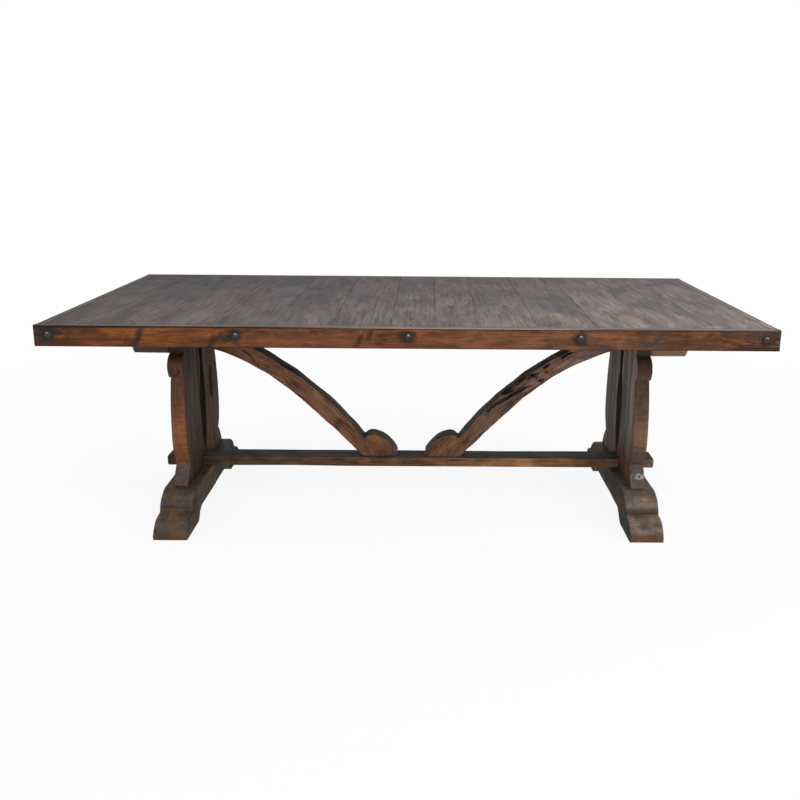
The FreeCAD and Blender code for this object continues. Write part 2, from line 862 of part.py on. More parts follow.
def build():
    studs = make_studs()
    centres = plank_centres()
    nails = make_nails(centres)
    brace_screws, brace_recesses = make_brace_screws()
    arm_screws, arm_recesses = make_arm_screws()
    head_bolts = make_head_bolts()
    brace_bolts = make_brace_bolts()
    plugs = make_plugs()

    make_planks(centres, nails)
    make_edge_boards(studs)
    make_ledgers(nails)
    make_top_rails(arm_screws)

    arm_tools = tool_set("arm_tools", [arm_screws] + arm_recesses)
    stretcher_tools = tool_set("stretcher_tools", [brace_screws] + brace_recesses)
    bolt_tools = tool_set("bolt_tools", [head_bolts, brace_bolts])
    for side in SIDES:
        make_foot(side)
        make_head_rail(side, bolt_tools)
        make_brace(side, brace_screws, brace_bolts)
        for row in ROWS:
            heel = side == "right" and row == "front"
            make_post(side, row, [plugs, head_bolts] if heel else [head_bolts])
            make_arm(side, row, arm_tools)
    make_stretcher(stretcher_tools)


def check():
    for item in DOC.Objects:
        if "Invalid" in item.State or "Error" in item.State:
            raise ValueError("%s failed: %s" % (item.Label, item.State))
    for item in NODES:
        if item.Shape.isNull() or not item.Shape.isValid():
            raise ValueError(item.Label + " has no sound shape")


def export():
    os.makedirs("parts", exist_ok=True)
    for item in NODES:
        item.Shape.exportStep("parts/%s.step" % item.Label)
    print("%d sub-parts written" % len(NODES))


SHEET = make_sheet()
build()
DOC.recompute()
check()
export()
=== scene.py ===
# %% [markdown]
# A trestle dining table in reclaimed timber. The sizes and places of every piece come
# from a measured frame, so this notebook only dresses it: it gives the timbers their
# worn surfaces and cracks, drives in the iron studs, and mixes a finish for each wood.

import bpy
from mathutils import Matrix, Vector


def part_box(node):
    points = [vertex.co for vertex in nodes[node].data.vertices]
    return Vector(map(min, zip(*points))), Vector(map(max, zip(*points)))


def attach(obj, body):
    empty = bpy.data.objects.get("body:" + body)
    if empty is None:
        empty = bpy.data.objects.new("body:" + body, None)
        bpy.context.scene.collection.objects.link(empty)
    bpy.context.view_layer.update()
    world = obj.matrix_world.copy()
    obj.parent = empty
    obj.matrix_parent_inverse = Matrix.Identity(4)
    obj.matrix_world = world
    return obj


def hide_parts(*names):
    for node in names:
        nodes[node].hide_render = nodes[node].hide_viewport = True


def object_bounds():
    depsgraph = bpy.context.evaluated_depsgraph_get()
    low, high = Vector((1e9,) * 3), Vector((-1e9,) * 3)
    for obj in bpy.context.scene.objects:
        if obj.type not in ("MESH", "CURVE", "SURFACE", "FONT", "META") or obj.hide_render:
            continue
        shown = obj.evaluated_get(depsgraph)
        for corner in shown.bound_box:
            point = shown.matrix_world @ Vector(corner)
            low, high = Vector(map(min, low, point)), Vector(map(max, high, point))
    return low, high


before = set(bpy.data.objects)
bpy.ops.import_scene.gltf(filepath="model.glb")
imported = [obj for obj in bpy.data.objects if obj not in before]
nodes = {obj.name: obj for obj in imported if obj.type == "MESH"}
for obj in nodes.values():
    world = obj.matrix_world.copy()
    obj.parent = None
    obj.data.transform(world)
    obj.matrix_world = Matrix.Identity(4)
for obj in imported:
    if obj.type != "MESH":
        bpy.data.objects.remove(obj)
frame_low, frame_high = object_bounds()
print("frame box", [round(v, 4) for v in (*frame_low, *frame_high)])

# %% [markdown]
# Everything below is measured in metres. The front of the table faces -Y, X runs along
# it, and the floor is at Z = 0.

# %% Modules and shared numbers
import math
import random

import bpy
import bmesh
from mathutils import Matrix, Vector

board_low, board_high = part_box("edge_board_front")
TABLE_TOP = frame_high.z
BOARD_FACE, BOARD_SOLE, BOARD_END = -board_low.y, board_low.z, board_high.x
print("edge boards", round(BOARD_END * 2, 3), "by", round(BOARD_FACE * 2, 3), "m")

# %% [markdown]
# The camera comes first, because every later choice is judged through it. It stands
# about three metres back, half a metre above the top, and looks slightly down. The lens
# shift slides the view without turning the camera, so the table sits in the middle.

# %% Camera
IMAGE_WIDTH = 800
FOCAL_PIXELS = 820.35
AIM_PIXEL = (434, 335)
PITCH, YAW, ROLL = (math.radians(angle) for angle in (12.582, 0.535, 0.538))
EYE = (0.05466, -2.97963, 1.30079)

ahead = Vector((math.sin(YAW) * math.cos(PITCH), math.cos(YAW) * math.cos(PITCH), -math.sin(PITCH)))
right = Vector((math.cos(YAW), -math.sin(YAW), 0))
above = right.cross(ahead)
tilted_right = right * math.cos(ROLL) + above * math.sin(ROLL)
tilted_above = above * math.cos(ROLL) - right * math.sin(ROLL)

lens = bpy.data.cameras.new("Camera")
lens.sensor_width = 36
lens.lens = FOCAL_PIXELS / IMAGE_WIDTH * lens.sensor_width
lens.shift_x = (IMAGE_WIDTH / 2 - AIM_PIXEL[0]) / IMAGE_WIDTH
lens.shift_y = (AIM_PIXEL[1] - IMAGE_WIDTH / 2) / IMAGE_WIDTH
camera = bpy.data.objects.new("Camera", lens)
turned = Matrix((tilted_right, tilted_above, -ahead)).transposed().to_4x4()
camera.matrix_world = Matrix.Translation(EYE) @ turned
bpy.context.scene.collection.objects.link(camera)
bpy.context.scene.camera = camera
bpy.context.scene.view_settings.view_transform = "Standard"
print("lens", round(lens.lens, 2), "mm")

# %% [markdown]
# Shader maths reads best as ordinary sums. A small class wraps a socket, so that
# `1 - mask` or `grain * 0.3` adds the Math node by itself.

# %% A socket that can be added up
class Wire:
    """An output socket that takes part in sums."""

    def __init__(self, tree, socket):
        self.tree = tree
        self.socket = socket

    def sum(self, operation, *terms):
        return self.tree.add("ShaderNodeMath", dict(enumerate(terms)), operation=operation)

    def __add__(self, other):
        return self.sum("ADD", self, other)

    def __sub__(self, other):
        return self.sum("SUBTRACT", self, other)

    def __rsub__(self, other):
        return self.sum("SUBTRACT", other, self)

    def __mul__(self, other):
        return self.sum("MULTIPLY", self, other)

    def __truediv__(self, other):
        return self.sum("DIVIDE", self, other)

    def __pow__(self, other):
        return self.sum("POWER", self, other)

    def __abs__(self):
        return self.sum("ABSOLUTE", self)

    def wave(self):
        return self.sum("SINE", self)

    def most(self, other):
        return self.sum("MAXIMUM", self, other)

    def least(self, other):
        return self.sum("MINIMUM", self, other)

    __radd__ = __add__
    __rmul__ = __mul__

    def fade(self, start, end):
        """0 before start and 1 after end, with a soft step between them."""
        return self.tree.add("ShaderNodeMapRange", {"Value": self, "From Min": start, "From Max": end},
                             interpolation_type="SMOOTHSTEP")


# %% [markdown]
# A second class holds the node tree. One call adds any node: it sets what the node is,
# such as a Math node's operation or a ramp's stops, and then fills or links its sockets.
# The shaders and the Geometry Nodes trees are both built with it.

# %% A node tree that is built by calls
class Tree:
    """A node tree. Each call adds a node and returns one of its outputs."""

    def __init__(self, tree):
        self.tree = tree

    def add(self, kind, sources=None, out=0, stops=None, **settings):
        made = self.tree.nodes.new(kind)
        for name, setting in settings.items():
            setattr(made, name, setting)
        if stops:
            ramp = made.color_ramp
            while len(ramp.elements) < len(stops):
                ramp.elements.new(1)
            for element, (position, colour) in zip(ramp.elements, stops):
                element.position = position
                element.color = (*colour, 1)
        for name, source in (sources or {}).items():
            self.feed(made.inputs[name], source)
        return Wire(self, made.outputs[out])

    def feed(self, socket, source):
        if isinstance(source, Wire):
            self.tree.links.new(source.socket, socket)
        else:
            socket.default_value = source

    def split(self, vector):
        outs = self.add("ShaderNodeSeparateXYZ", {"Vector": vector}).socket.node.outputs
        return [Wire(self, out) for out in outs]

    def join(self, x, y, z):
        return self.add("ShaderNodeCombineXYZ", {"X": x, "Y": y, "Z": z})

    def vector(self, operation, first, second):
        return self.add("ShaderNodeVectorMath", {0: first, 1: second}, operation=operation)

    def scaled(self, vector, factor):
        return self.add("ShaderNodeVectorMath", {0: vector, "Scale": factor}, operation="SCALE")


# %% [markdown]
# Each wood on this table is the same thing underneath: fibres that run along the board,
# growth rings cut through by the saw, fine open pores, and a stain that took unevenly.
# So one class makes a tone from 0 to 1 out of those, and each finish says which colour
# that tone darkens and brightens. All patterns read the object's own coordinates, in
# metres, so the grain stays the right size on a long board and on a short one.

# %% Stained timber
ALONG = {"X": 0, "Y": 1, "Z": 2}
BLACKENED = (0.012, 0.009, 0.008)


class Timber(Tree):
    """A stained timber whose grain runs along one axis of the table."""

    def __init__(self, name, along, seed=0.0, ring_gap=0.007):
        self.material = bpy.data.materials.new(name)
        self.material.use_nodes = True
        super().__init__(self.material.node_tree)
        self.shader = self.tree.nodes["Principled BSDF"]
        self.along = ALONG[along]
        self.place = self.add("ShaderNodeTexCoord", out="Object")
        self.x, self.y, self.z = self.split(self.place)
        self.normal = self.split(self.add("ShaderNodeNewGeometry", out="Normal"))
        self.rightward = self.x.fade(-0.1, 0.1)
        self.start = self.place
        self.seed = seed
        self.ring_gap = ring_gap

    def noise(self, scale, stretch=1.0, detail=3.0, rough=0.55, shift=0.0, warp=0.0, drawn=None):
        """Noise whose blobs are drawn out along the grain, or along another axis."""
        sizes = [1.0, 1.0, 1.0]
        sizes[self.along if drawn is None else ALONG[drawn]] = 1.0 / stretch
        spot = self.add("ShaderNodeMapping", {
            "Vector": self.start, "Scale": sizes,
            "Location": (self.seed + shift, self.seed * 1.7 + shift, self.seed * 0.6)})
        return self.add("ShaderNodeTexNoise", {
            "Vector": spot, "Scale": scale, "Detail": detail, "Roughness": rough, "Distortion": warp})

    def blend(self, amount, first, second):
        """Mix two colours. The amount is 0 for the first and 1 for the second."""
        first, second = [(*c, 1) if isinstance(c, tuple) else c for c in (first, second)]
        return self.add("ShaderNodeMix", {0: amount, 6: first, 7: second}, out=2, data_type="RGBA")

    def steps(self, position, stops, sharp=False):
        """Look a colour up along a length. Each stop is a place and a colour."""
        low, high = stops[0][0], stops[-1][0]
        ramp = self.add("ShaderNodeValToRGB", {"Fac": (position - low) / (high - low)},
                        stops=[((at - low) / (high - low), colour) for at, colour in stops])
        if sharp:
            ramp.socket.node.color_ramp.interpolation = "CONSTANT"
        return ramp

    def grain(self, fibre=0.55, rings=0.25, patches=0.45, long=22, cloud=(7, 3.5)):
        """Lay the fibres, rings, pores and patches down as one tone."""
        sides = [wire for index, wire in enumerate(self.split(self.start)) if index != self.along]
        self.fibre = self.noise(120, stretch=long, detail=6, rough=0.62)
        self.patch = self.noise(cloud[0], stretch=cloud[1], detail=4, shift=3.1, warp=0.6)
        bend = self.noise(6, stretch=6, detail=2, shift=7.7)
        field = sides[0] + sides[1] * 0.8 + bend * 0.11
        self.rings = (field * (math.tau / self.ring_gap)).wave() * 0.5 + 0.5
        self.pores = self.noise(420, stretch=26, detail=2, shift=1.9).fade(0.60, 0.72)
        tone = (self.fibre - 0.5) * (fibre * 4) + (self.rings - 0.5) * rings
        tone = tone + (self.patch - 0.5) * (patches * 4) + 0.5
        self.tone = tone.most(0.0).least(1.0)
        self.height = self.fibre * 0.8 + self.rings * 0.25 - self.pores * 0.5

    def toned(self, colour, low=0.42, high=1.55):
        """A colour, darkened and brightened by the grain."""
        return self.scaled(colour, self.tone * (high - low) + low)

    def stain(self, amount, colour):
        self.colour = self.blend(amount, self.colour, colour)

    def facing(self, axis, start=0.55, end=0.9):
        """How far a surface looks along one axis, from 0 to 1."""
        return abs(self.normal[ALONG[axis]]).fade(start, end)

    def upward(self, start, end):
        return self.normal[2].fade(start, end)

    def spot(self, centre, size, turn=0.0, ragged=0.5, plane="xz", sharp=0.35):
        """A soft oval mark on one plane, with a ragged rim."""
        across, up = (getattr(self, axis) - at for axis, at in zip(plane, centre))
        turned_x = across * (math.cos(turn) / size[0]) + up * (math.sin(turn) / size[0])
        turned_y = up * (math.cos(turn) / size[1]) - across * (math.sin(turn) / size[1])
        reach = (turned_x * turned_x + turned_y * turned_y) ** 0.5
        reach = reach + (self.noise(60, detail=3, shift=centre[0]) - 0.5) * (ragged * 2)
        return 1 - reach.fade(sharp, 1.0)

    def finish(self, shine=0.45, spread=0.25, relief=0.0009, gloss=0.16):
        """Connect the colour, the sheen and the relief to the shader."""
        patchy = self.noise(14, stretch=2.5, detail=3, shift=5.3)
        roughness = (patchy - 0.5) * spread + self.pores * 0.12 + shine
        bump = self.add("ShaderNodeBump", {"Height": self.height, "Distance": relief, "Strength": 0.8})
        for name, source in (("Base Color", self.colour), ("Roughness", roughness),
                             ("Normal", bump), ("Specular IOR Level", gloss)):
            self.feed(self.shader.inputs[name], source)
        return self.material


# %% [markdown]
# The top is thirteen planks that run across the table. Each has its own tone, so a
# stepped ramp looks up the plank from the X coordinate: its red channel is the plank's
# tone and its green channel slides the grain, so that no figure crosses a joint.

# %% Planks, pits and joints
def plank_steps(seed=4):
    """One stop for each plank, at its left joint."""
    random.seed(seed)
    stops = [(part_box("top_plank_%02d" % number)[0].x, (random.random(), random.random(), 0))
             for number in range(1, 14)]
    return [(-BOARD_END, stops[0][1]), *stops[1:], (BOARD_END, stops[-1][1])]


# Each pit has its place (x, y), its length and width, and its turn from the X axis.
PITS = ((0.140, -0.190, 0.022, 0.009, 1.2), (0.118, -0.205, 0.010, 0.005, 0.2),
        (0.328, -0.159, 0.030, 0.005, 1.9), (0.668, -0.081, 0.014, 0.006, 0.0),
        (0.747, -0.107, 0.010, 0.004, 0.3), (0.828, -0.179, 0.066, 0.0035, -1.27),
        (-0.861, -0.127, 0.014, 0.006, 1.5), (-1.035, -0.466, 0.014, 0.005, 1.6),
        (-0.870, -0.460, 0.014, 0.005, 1.6), (-0.194, -0.176, 0.013, 0.006, 1.6),
        (-0.166, -0.318, 0.010, 0.004, 1.6), (-0.328, -0.424, 0.012, 0.006, 1.6),
        (0.005, -0.403, 0.012, 0.006, 1.6), (0.006, -0.496, 0.012, 0.005, 1.6),
        (0.071, -0.501, 0.010, 0.004, 1.6), (0.109, -0.492, 0.010, 0.004, 1.6),
        (-0.018, -0.295, 0.012, 0.005, 1.6), (0.540, -0.340, 0.010, 0.006, 0.4),
        (0.545, 0.205, 0.016, 0.006, 1.5), (-0.498, 0.226, 0.014, 0.006, 1.5),
        (0.905, 0.262, 0.020, 0.006, 1.7))


def nail_pits(wood):
    """Old nail holes and small knots, black with iron and long in the grain."""
    for x, y, length, width, turn in PITS:
        pit = wood.spot((x, y), (length, width), turn, ragged=0.45, plane="xy", sharp=0.45)
        wood.stain(pit * 0.92, (0.006, 0.005, 0.005))
        wood.height = wood.height - pit * 2


def waxed_joints(wood, stops):
    """Dark wax that has gathered along the joints between the planks."""
    depth = 0.45 - wood.x.fade(-0.1, 0.2) * 0.34
    for joint, _ in stops[1:-1]:
        wood.stain((1 - abs(wood.x - joint).fade(0.0006, 0.0032)) * depth, (0.020, 0.018, 0.018))


print(len(PITS), "pits in the top")

# %% [markdown]
# Old wax lies over the brown wood, and use has worn it. One noise would look like paint,
# so each kind of wear has its own: rubbed patches, sooty clouds, thin dark streaks along
# the grain. Then painted light brightens the boards towards the right front corner, and a
# painted bluish sheen greys them towards the back.

# %% Finish of the top
def worn_boards_with_painted_light(wood, rubbing=0.55):
    """The colour of every board seen from above: brown wood under worn dark wax, with a
    painted sheen towards the back and painted light brightening the right front corner."""
    soot = wood.noise(8, stretch=2.4, detail=6, shift=9.1, warp=0.4).fade(0.44, 0.60)
    rubbed = wood.noise(36, stretch=4.5, detail=8, rough=0.68, shift=2.2, warp=0.3).fade(0.46, 0.66)
    streaks = wood.noise(105, stretch=15, detail=6, rough=0.62, shift=4.6).fade(0.50, 0.64)
    wood.colour = wood.toned((0.104, 0.084, 0.078), 0.5, 1.55)
    tan = wood.blend(wood.x.fade(-0.2, 0.6), (0.200, 0.130, 0.114), (0.225, 0.145, 0.112))
    wood.stain(rubbed * rubbing, tan)
    blush = wood.noise(19, stretch=3, detail=7, rough=0.65, shift=25.1).fade(0.52, 0.70)
    wood.stain(blush * (1 - wood.y.fade(-0.40, 0.15)) * 0.38, (0.225, 0.122, 0.098))
    # painted sheen: a cool bluish grey towards the back stands in for the wax's reflection
    painted_sheen_patches = wood.noise(6, stretch=1.5, detail=5, shift=21.3).fade(0.46, 0.64)
    wood.stain(painted_sheen_patches * wood.y.fade(-0.50, -0.10) * 0.34, (0.068, 0.075, 0.083))
    wood.stain(soot * 0.55, (0.042, 0.043, 0.046))
    wood.stain(streaks * 0.50, (0.028, 0.026, 0.027))
    # painted light: the colour is scaled up towards the right front corner and down at the left front, as the
    # lamps light it
    forward = (0 - wood.y).most(0.0)
    painted_light_falloff = wood.x * 0.33 - wood.y * 0.54 + 1.00
    painted_light_falloff = painted_light_falloff + forward * (wood.x + 0.4).most(0.0) * 0.36
    painted_light_falloff = painted_light_falloff + wood.x.fade(0.15, 0.75) * 0.14
    painted_light_falloff = painted_light_falloff - forward * (-0.5 - wood.x).most(0.0) * 0.75
    wood.colour = wood.scaled(wood.colour, painted_light_falloff)


top = Timber("worn_top", "Y", ring_gap=0.009)
planks = plank_steps()
plank_tone, plank_slide, _ = top.split(top.steps(top.x, planks, sharp=True))
slide = top.join(plank_slide * 0.7, plank_slide * 5, plank_slide * 3)
top.start = top.vector("ADD", top.place, slide)
top.grain(fibre=0.54, rings=0.12, patches=0.42, long=22, cloud=(9, 2.4))
worn_boards_with_painted_light(top)
top.stain((plank_tone - 0.4).most(0.0) * 0.30, (0.034, 0.029, 0.029))
waxed_joints(top, planks)
nail_pits(top)
top_finish = top.finish(shine=0.58, spread=0.22, relief=0.0007, gloss=0.09)
print("top finish:", len(top.tree.nodes), "nodes")

# %% [markdown]
# The boards round the top took a warm red-brown stain on their faces, while their upper
# edges went as dark as the planks. Each knot is a ragged oval, and the iron of the studs
# has blackened the wood around it.

# %% Finish of the edge boards
EDGE_TONES = [(-BOARD_END, (0.046, 0.024, 0.016)), (-1.06, (0.078, 0.027, 0.010)),
              (-0.95, (0.112, 0.035, 0.010)), (-0.74, (0.158, 0.053, 0.015)),
              (-0.56, (0.114, 0.041, 0.016)), (-0.26, (0.122, 0.044, 0.019)),
              (-0.02, (0.158, 0.056, 0.023)), (0.18, (0.128, 0.052, 0.025)),
              (0.32, (0.146, 0.060, 0.029)), (0.47, (0.146, 0.062, 0.031)),
              (0.64, (0.118, 0.049, 0.024)), (0.80, (0.091, 0.040, 0.021)),
              (0.98, (0.054, 0.026, 0.015)), (1.11, (0.048, 0.024, 0.016)),
              (BOARD_END, (0.036, 0.023, 0.018))]
# Knots and damp stains: a colour, then the place, size, turn and depth of each.
KNOTS = {
    (0.018, 0.011, 0.010): (
        ((-0.822, 0.746), (0.042, 0.016), 1.05, 0.80), ((-0.838, 0.724), (0.034, 0.014), 0.6, 0.65),
        ((-0.862, 0.732), (0.030, 0.008), 1.15, 0.45), ((-0.600, 0.729), (0.034, 0.015), 1.05, 0.85),
        ((-0.580, 0.744), (0.034, 0.014), 0.6, 0.70), ((-0.556, 0.736), (0.040, 0.016), 0.35, 0.80),
        ((-0.492, 0.764), (0.030, 0.010), 0.4, 0.5), ((-0.151, 0.734), (0.040, 0.015), 1.10, 0.80),
        ((-0.120, 0.752), (0.032, 0.012), 1.10, 0.7), ((-0.990, 0.761), (0.016, 0.007), 0.0, 0.5),
        ((0.215, 0.763), (0.012, 0.006), 0.0, 0.5), ((0.389, 0.766), (0.032, 0.007), 0.0, 0.5)),
    (0.030, 0.033, 0.034): (
        ((0.742, 0.730), (0.046, 0.019), 0.15, 0.80), ((0.768, 0.750), (0.036, 0.015), 0.95, 0.70),
        ((0.600, 0.721), (0.055, 0.010), 0.0, 0.6)),
    (0.075, 0.048, 0.036): (((0.680, 0.730), (0.040, 0.010), 0.0, 0.6),),
}
STUD_LEVEL = sum(corner.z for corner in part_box("studs_front")) / 2
CORNER_STUD, MIDDLE_STUD, END_STUD = BOARD_END - 0.045, 0.5275, BOARD_FACE - 0.0455


def edge_finish(name, along):
    wood = Timber(name, along, seed=1.3, ring_gap=0.0065)
    wood.grain(fibre=0.46, rings=0.10, patches=0.40, long=16, cloud=(30, 3.0))
    stretch = wood.x if along == "X" else wood.y * (BOARD_END / BOARD_FACE)
    wood.colour = wood.toned(wood.steps(stretch, EDGE_TONES), 0.40, 1.56)
    streak = wood.noise(70, stretch=9, detail=6, shift=6.2).fade(0.50, 0.66)
    wood.stain(streak * 0.48, (0.036, 0.017, 0.010))
    glow = wood.noise(52, stretch=4, detail=6, rough=0.65, shift=14.2).fade(0.50, 0.66)
    wood.stain(glow * 0.44, (0.270, 0.093, 0.024))
    smoke = wood.noise(24, stretch=2.5, detail=6, shift=17.9).fade(0.52, 0.70)
    wood.stain(smoke * 0.36, (0.036, 0.020, 0.015))
    if along == "X":
        for colour, knots in KNOTS.items():
            for centre, size, turn, depth in knots:
                wood.stain(wood.spot(centre, size, turn, ragged=0.75, sharp=0.15) * depth, colour)
    iron_spots(wood, along)
    lower = 1 - wood.z.fade(BOARD_SOLE, BOARD_SOLE + 0.008)
    thick = 1 - wood.x.fade(-0.85, -0.68)
    arris = (wood.z + thick * 0.002).fade(TABLE_TOP - 0.007, TABLE_TOP - 0.003)
    wood.stain(arris.most(lower * 0.6) * 0.9, (0.013, 0.009, 0.007))
    # painted highlight: a pale pinkish line on the upward facets of the top arris, from the middle to the
    # right
    pale = wood.x.fade(-0.5, 0.1) * (1 - wood.x.fade(0.45, 0.62) * 0.7)
    wood.stain(wood.upward(0.55, 0.65) * pale * 0.9, (0.30, 0.21, 0.18))
    side = wood.colour
    worn_boards_with_painted_light(wood, rubbing=0.25)
    rim = abs(wood.x).fade(BOARD_END - 0.012, BOARD_END - 0.004)
    rim = rim.most(wood.y.fade(BOARD_FACE - 0.030, BOARD_FACE - 0.008))
    wood.stain(rim * 0.75, (0.020, 0.017, 0.016))
    wood.colour = wood.blend(wood.upward(0.75, 0.92), side, wood.colour)
    return wood.finish(shine=0.50, spread=0.2, relief=0.0006, gloss=0.09)


def iron_spots(wood, along):
    """Blacken the wood around each stud."""
    if along == "X":
        span, places = abs(wood.x), (0.0, MIDDLE_STUD, CORNER_STUD)
    else:
        span, places = abs(wood.y), (0.0, END_STUD)
    rise = wood.z - STUD_LEVEL
    for place in places:
        reach = ((span - place) * (span - place) + rise * rise) ** 0.5
        ring = 1 - (reach + (wood.patch - 0.5) * 0.05).fade(0.013, 0.032)
        wood.stain(ring * 0.80, (0.018, 0.014, 0.012))


long_edge_finish = edge_finish("edge_wood_long", "X")
short_edge_finish = edge_finish("edge_wood_short", "Y")

# %% [markdown]
# The trestle timbers are darker. The left and right trestles differ partly in tint and
# partly as painted light: the right one is painted lighter, as if lit from the right. So
# one helper takes a colour for each side, and another draws the drying checks. A cracked
# board also carries a point attribute, "crack", that is made with its shape further
# down; the finish blackens it there.

# %% What the trestle woods share
def each_side(wood, left, right, *contrast):
    """The grain in one colour on the left trestle and in another on the right."""
    return wood.blend(wood.rightward, wood.toned(left, *contrast), wood.toned(right, *contrast))


def splits(wood, amount=0.8):
    """Fine drying checks along the grain, which never start on end grain."""
    checks = wood.noise(75, stretch=34, detail=3, shift=8.8).fade(0.635, 0.675)
    checks = checks * (1 - wood.facing("XYZ"[wood.along], 0.3, 0.7)) * amount
    wood.stain(checks, BLACKENED)
    wood.height = wood.height - checks * 1.5
    crack = wood.add("ShaderNodeAttribute", out="Fac", attribute_name="crack")
    wood.stain(crack.fade(0.25, 0.75) * 0.95, (0.004, 0.003, 0.003))


# %% [markdown]
# The sawn sides of a post stayed grey-brown, while its carved edges, rubbed by hands and
# knees, show the warm wood, most of all at knee height. So the edges look their colour up
# by height; the top of that lookup is painted shade, dark under the tabletop. The slot
# between a front and a rear post is painted dark as shade too. One heel has two plugs,
# painted as dark dots in a pale patch.

# %% Finish of the posts
# In both lists the top stops are painted shade, dark under the tabletop.
LEFT_POST_AND_SHADE = [(0.12, (0.120, 0.052, 0.024)), (0.145, (0.122, 0.055, 0.027)),
             (0.215, (0.118, 0.053, 0.027)), (0.255, (0.164, 0.061, 0.024)),
             (0.30, (0.192, 0.072, 0.030)), (0.35, (0.187, 0.069, 0.030)),
             (0.40, (0.145, 0.057, 0.027)), (0.46, (0.114, 0.048, 0.026)),
             (0.53, (0.100, 0.044, 0.025)), (0.58, (0.100, 0.045, 0.025)),
             (0.61, (0.045, 0.022, 0.014)), (0.711, (0.020, 0.013, 0.010))]
RIGHT_POST_AND_SHADE = [(0.12, (0.130, 0.066, 0.034)), (0.145, (0.120, 0.066, 0.040)),
              (0.215, (0.078, 0.055, 0.043)), (0.255, (0.080, 0.055, 0.039)),
              (0.30, (0.150, 0.086, 0.050)), (0.35, (0.150, 0.085, 0.048)),
              (0.40, (0.110, 0.068, 0.045)), (0.46, (0.080, 0.052, 0.038)),
              (0.49, (0.072, 0.046, 0.034)), (0.54, (0.098, 0.058, 0.038)),
              (0.575, (0.067, 0.038, 0.024)), (0.62, (0.076, 0.048, 0.031)),
              (0.711, (0.036, 0.024, 0.018))]
PALE_PATCH_CENTRE, PLUG_PLACES, PLUG_LEVEL = (0.8150, 0.172), (0.8005, 0.8205), 0.172
CURL_CENTRE = (0.815, 0.552)


def dark_crescent(wood):
    """A dark crescent on the scrolled heads on the left."""
    across, up = abs(wood.x) - CURL_CENTRE[0], wood.z - CURL_CENTRE[1]
    reach = (across * across + up * up * 0.8) ** 0.5 + (wood.patch - 0.5) * 0.012
    ring = reach.fade(0.007, 0.012) * (1 - reach.fade(0.014, 0.021))
    return ring * (1 - up.fade(0.004, 0.016)) * (1 - wood.rightward) * 0.85


def post_wood():
    wood = Timber("post_wood", "Z", seed=2.1)
    wood.grain(fibre=0.42, rings=0.20, patches=0.40)
    sawn = wood.facing("X")
    carved = 1 - sawn
    edge = each_side(wood, wood.steps(wood.z, LEFT_POST_AND_SHADE), wood.steps(wood.z, RIGHT_POST_AND_SHADE), 0.6, 1.4)
    pleats = wood.noise(32, stretch=18, detail=3, shift=6.4).fade(0.42, 0.58)
    flat = each_side(wood, (0.087, 0.052, 0.033), (0.184, 0.158, 0.139))
    low = each_side(wood, (0.040, 0.021, 0.010), (0.085, 0.042, 0.021))
    flat = wood.blend(pleats * 0.62, flat, (0.026, 0.018, 0.013))
    front_post = 1 - wood.y.fade(-0.02, 0.06)
    flat = wood.scaled(flat, front_post * wood.rightward * 0.17 + 1)
    warmth = 1 - (wood.z + (wood.patch - 0.5) * 0.30 + (pleats - 0.5) * 0.05).fade(0.18, 0.36)
    flat = wood.blend(warmth * (front_post * 0.75 + 0.25), flat, low)
    wood.colour = wood.blend(sawn, edge, flat)
    bands = wood.noise(26, stretch=0.35, detail=4, shift=15.5).fade(0.46, 0.66) * carved
    wood.stain(bands * 0.42, (0.050, 0.026, 0.016))
    wood.stain(dark_crescent(wood) * carved, (0.026, 0.013, 0.010))
    heel = wood.z.fade(0.139, 0.146) * (1 - wood.z.fade(0.196, 0.200)) * abs(wood.y).fade(0.200, 0.206)
    wood.stain(heel * carved * 0.85, each_side(wood, (0.068, 0.053, 0.053), (0.072, 0.063, 0.060)))
    front = 1 - wood.y.fade(-0.20, -0.19)
    # a pale patch round the two dark plug dots
    pale_patch = wood.spot(PALE_PATCH_CENTRE, (0.030, 0.0105), ragged=0.95, sharp=0.30)
    wood.stain(pale_patch * front * 0.9, wood.toned((0.300, 0.285, 0.270), 0.5, 1.4))
    for across in PLUG_PLACES:
        plug = wood.spot((across, PLUG_LEVEL), (0.0060, 0.0060), ragged=0.35, sharp=0.45)
        wood.stain(plug * front * 0.9, BLACKENED)
    # painted shade: the faces inside the slot between a front and a rear post are darkened
    painted_slot_shade = (1 - abs(wood.y).fade(0.135, 0.165)) * carved
    wood.stain(painted_slot_shade * 0.95, (0.011, 0.007, 0.005))
    smear = wood.noise(22, stretch=3, detail=5, shift=11.3).fade(0.54, 0.74)
    wood.stain(smear * 0.5, (0.034, 0.021, 0.015))
    splits(wood, sawn * 0.8)
    return wood.finish(shine=sawn * 0.28 + 0.44, spread=0.25, relief=0.0010, gloss=0.08)


post_finish = post_wood()
print("post finish:", len(post_finish.node_tree.nodes), "nodes")

# %% [markdown]
# Shoes and mops have dulled the feet. Their colour goes by the height above the floor,
# and carries painted light and shade: pale where the toe stands proud, partly as a painted
# highlight, and painted shade in the crease where its scroll begins. The rear of each
# foot is painted darker as shade.

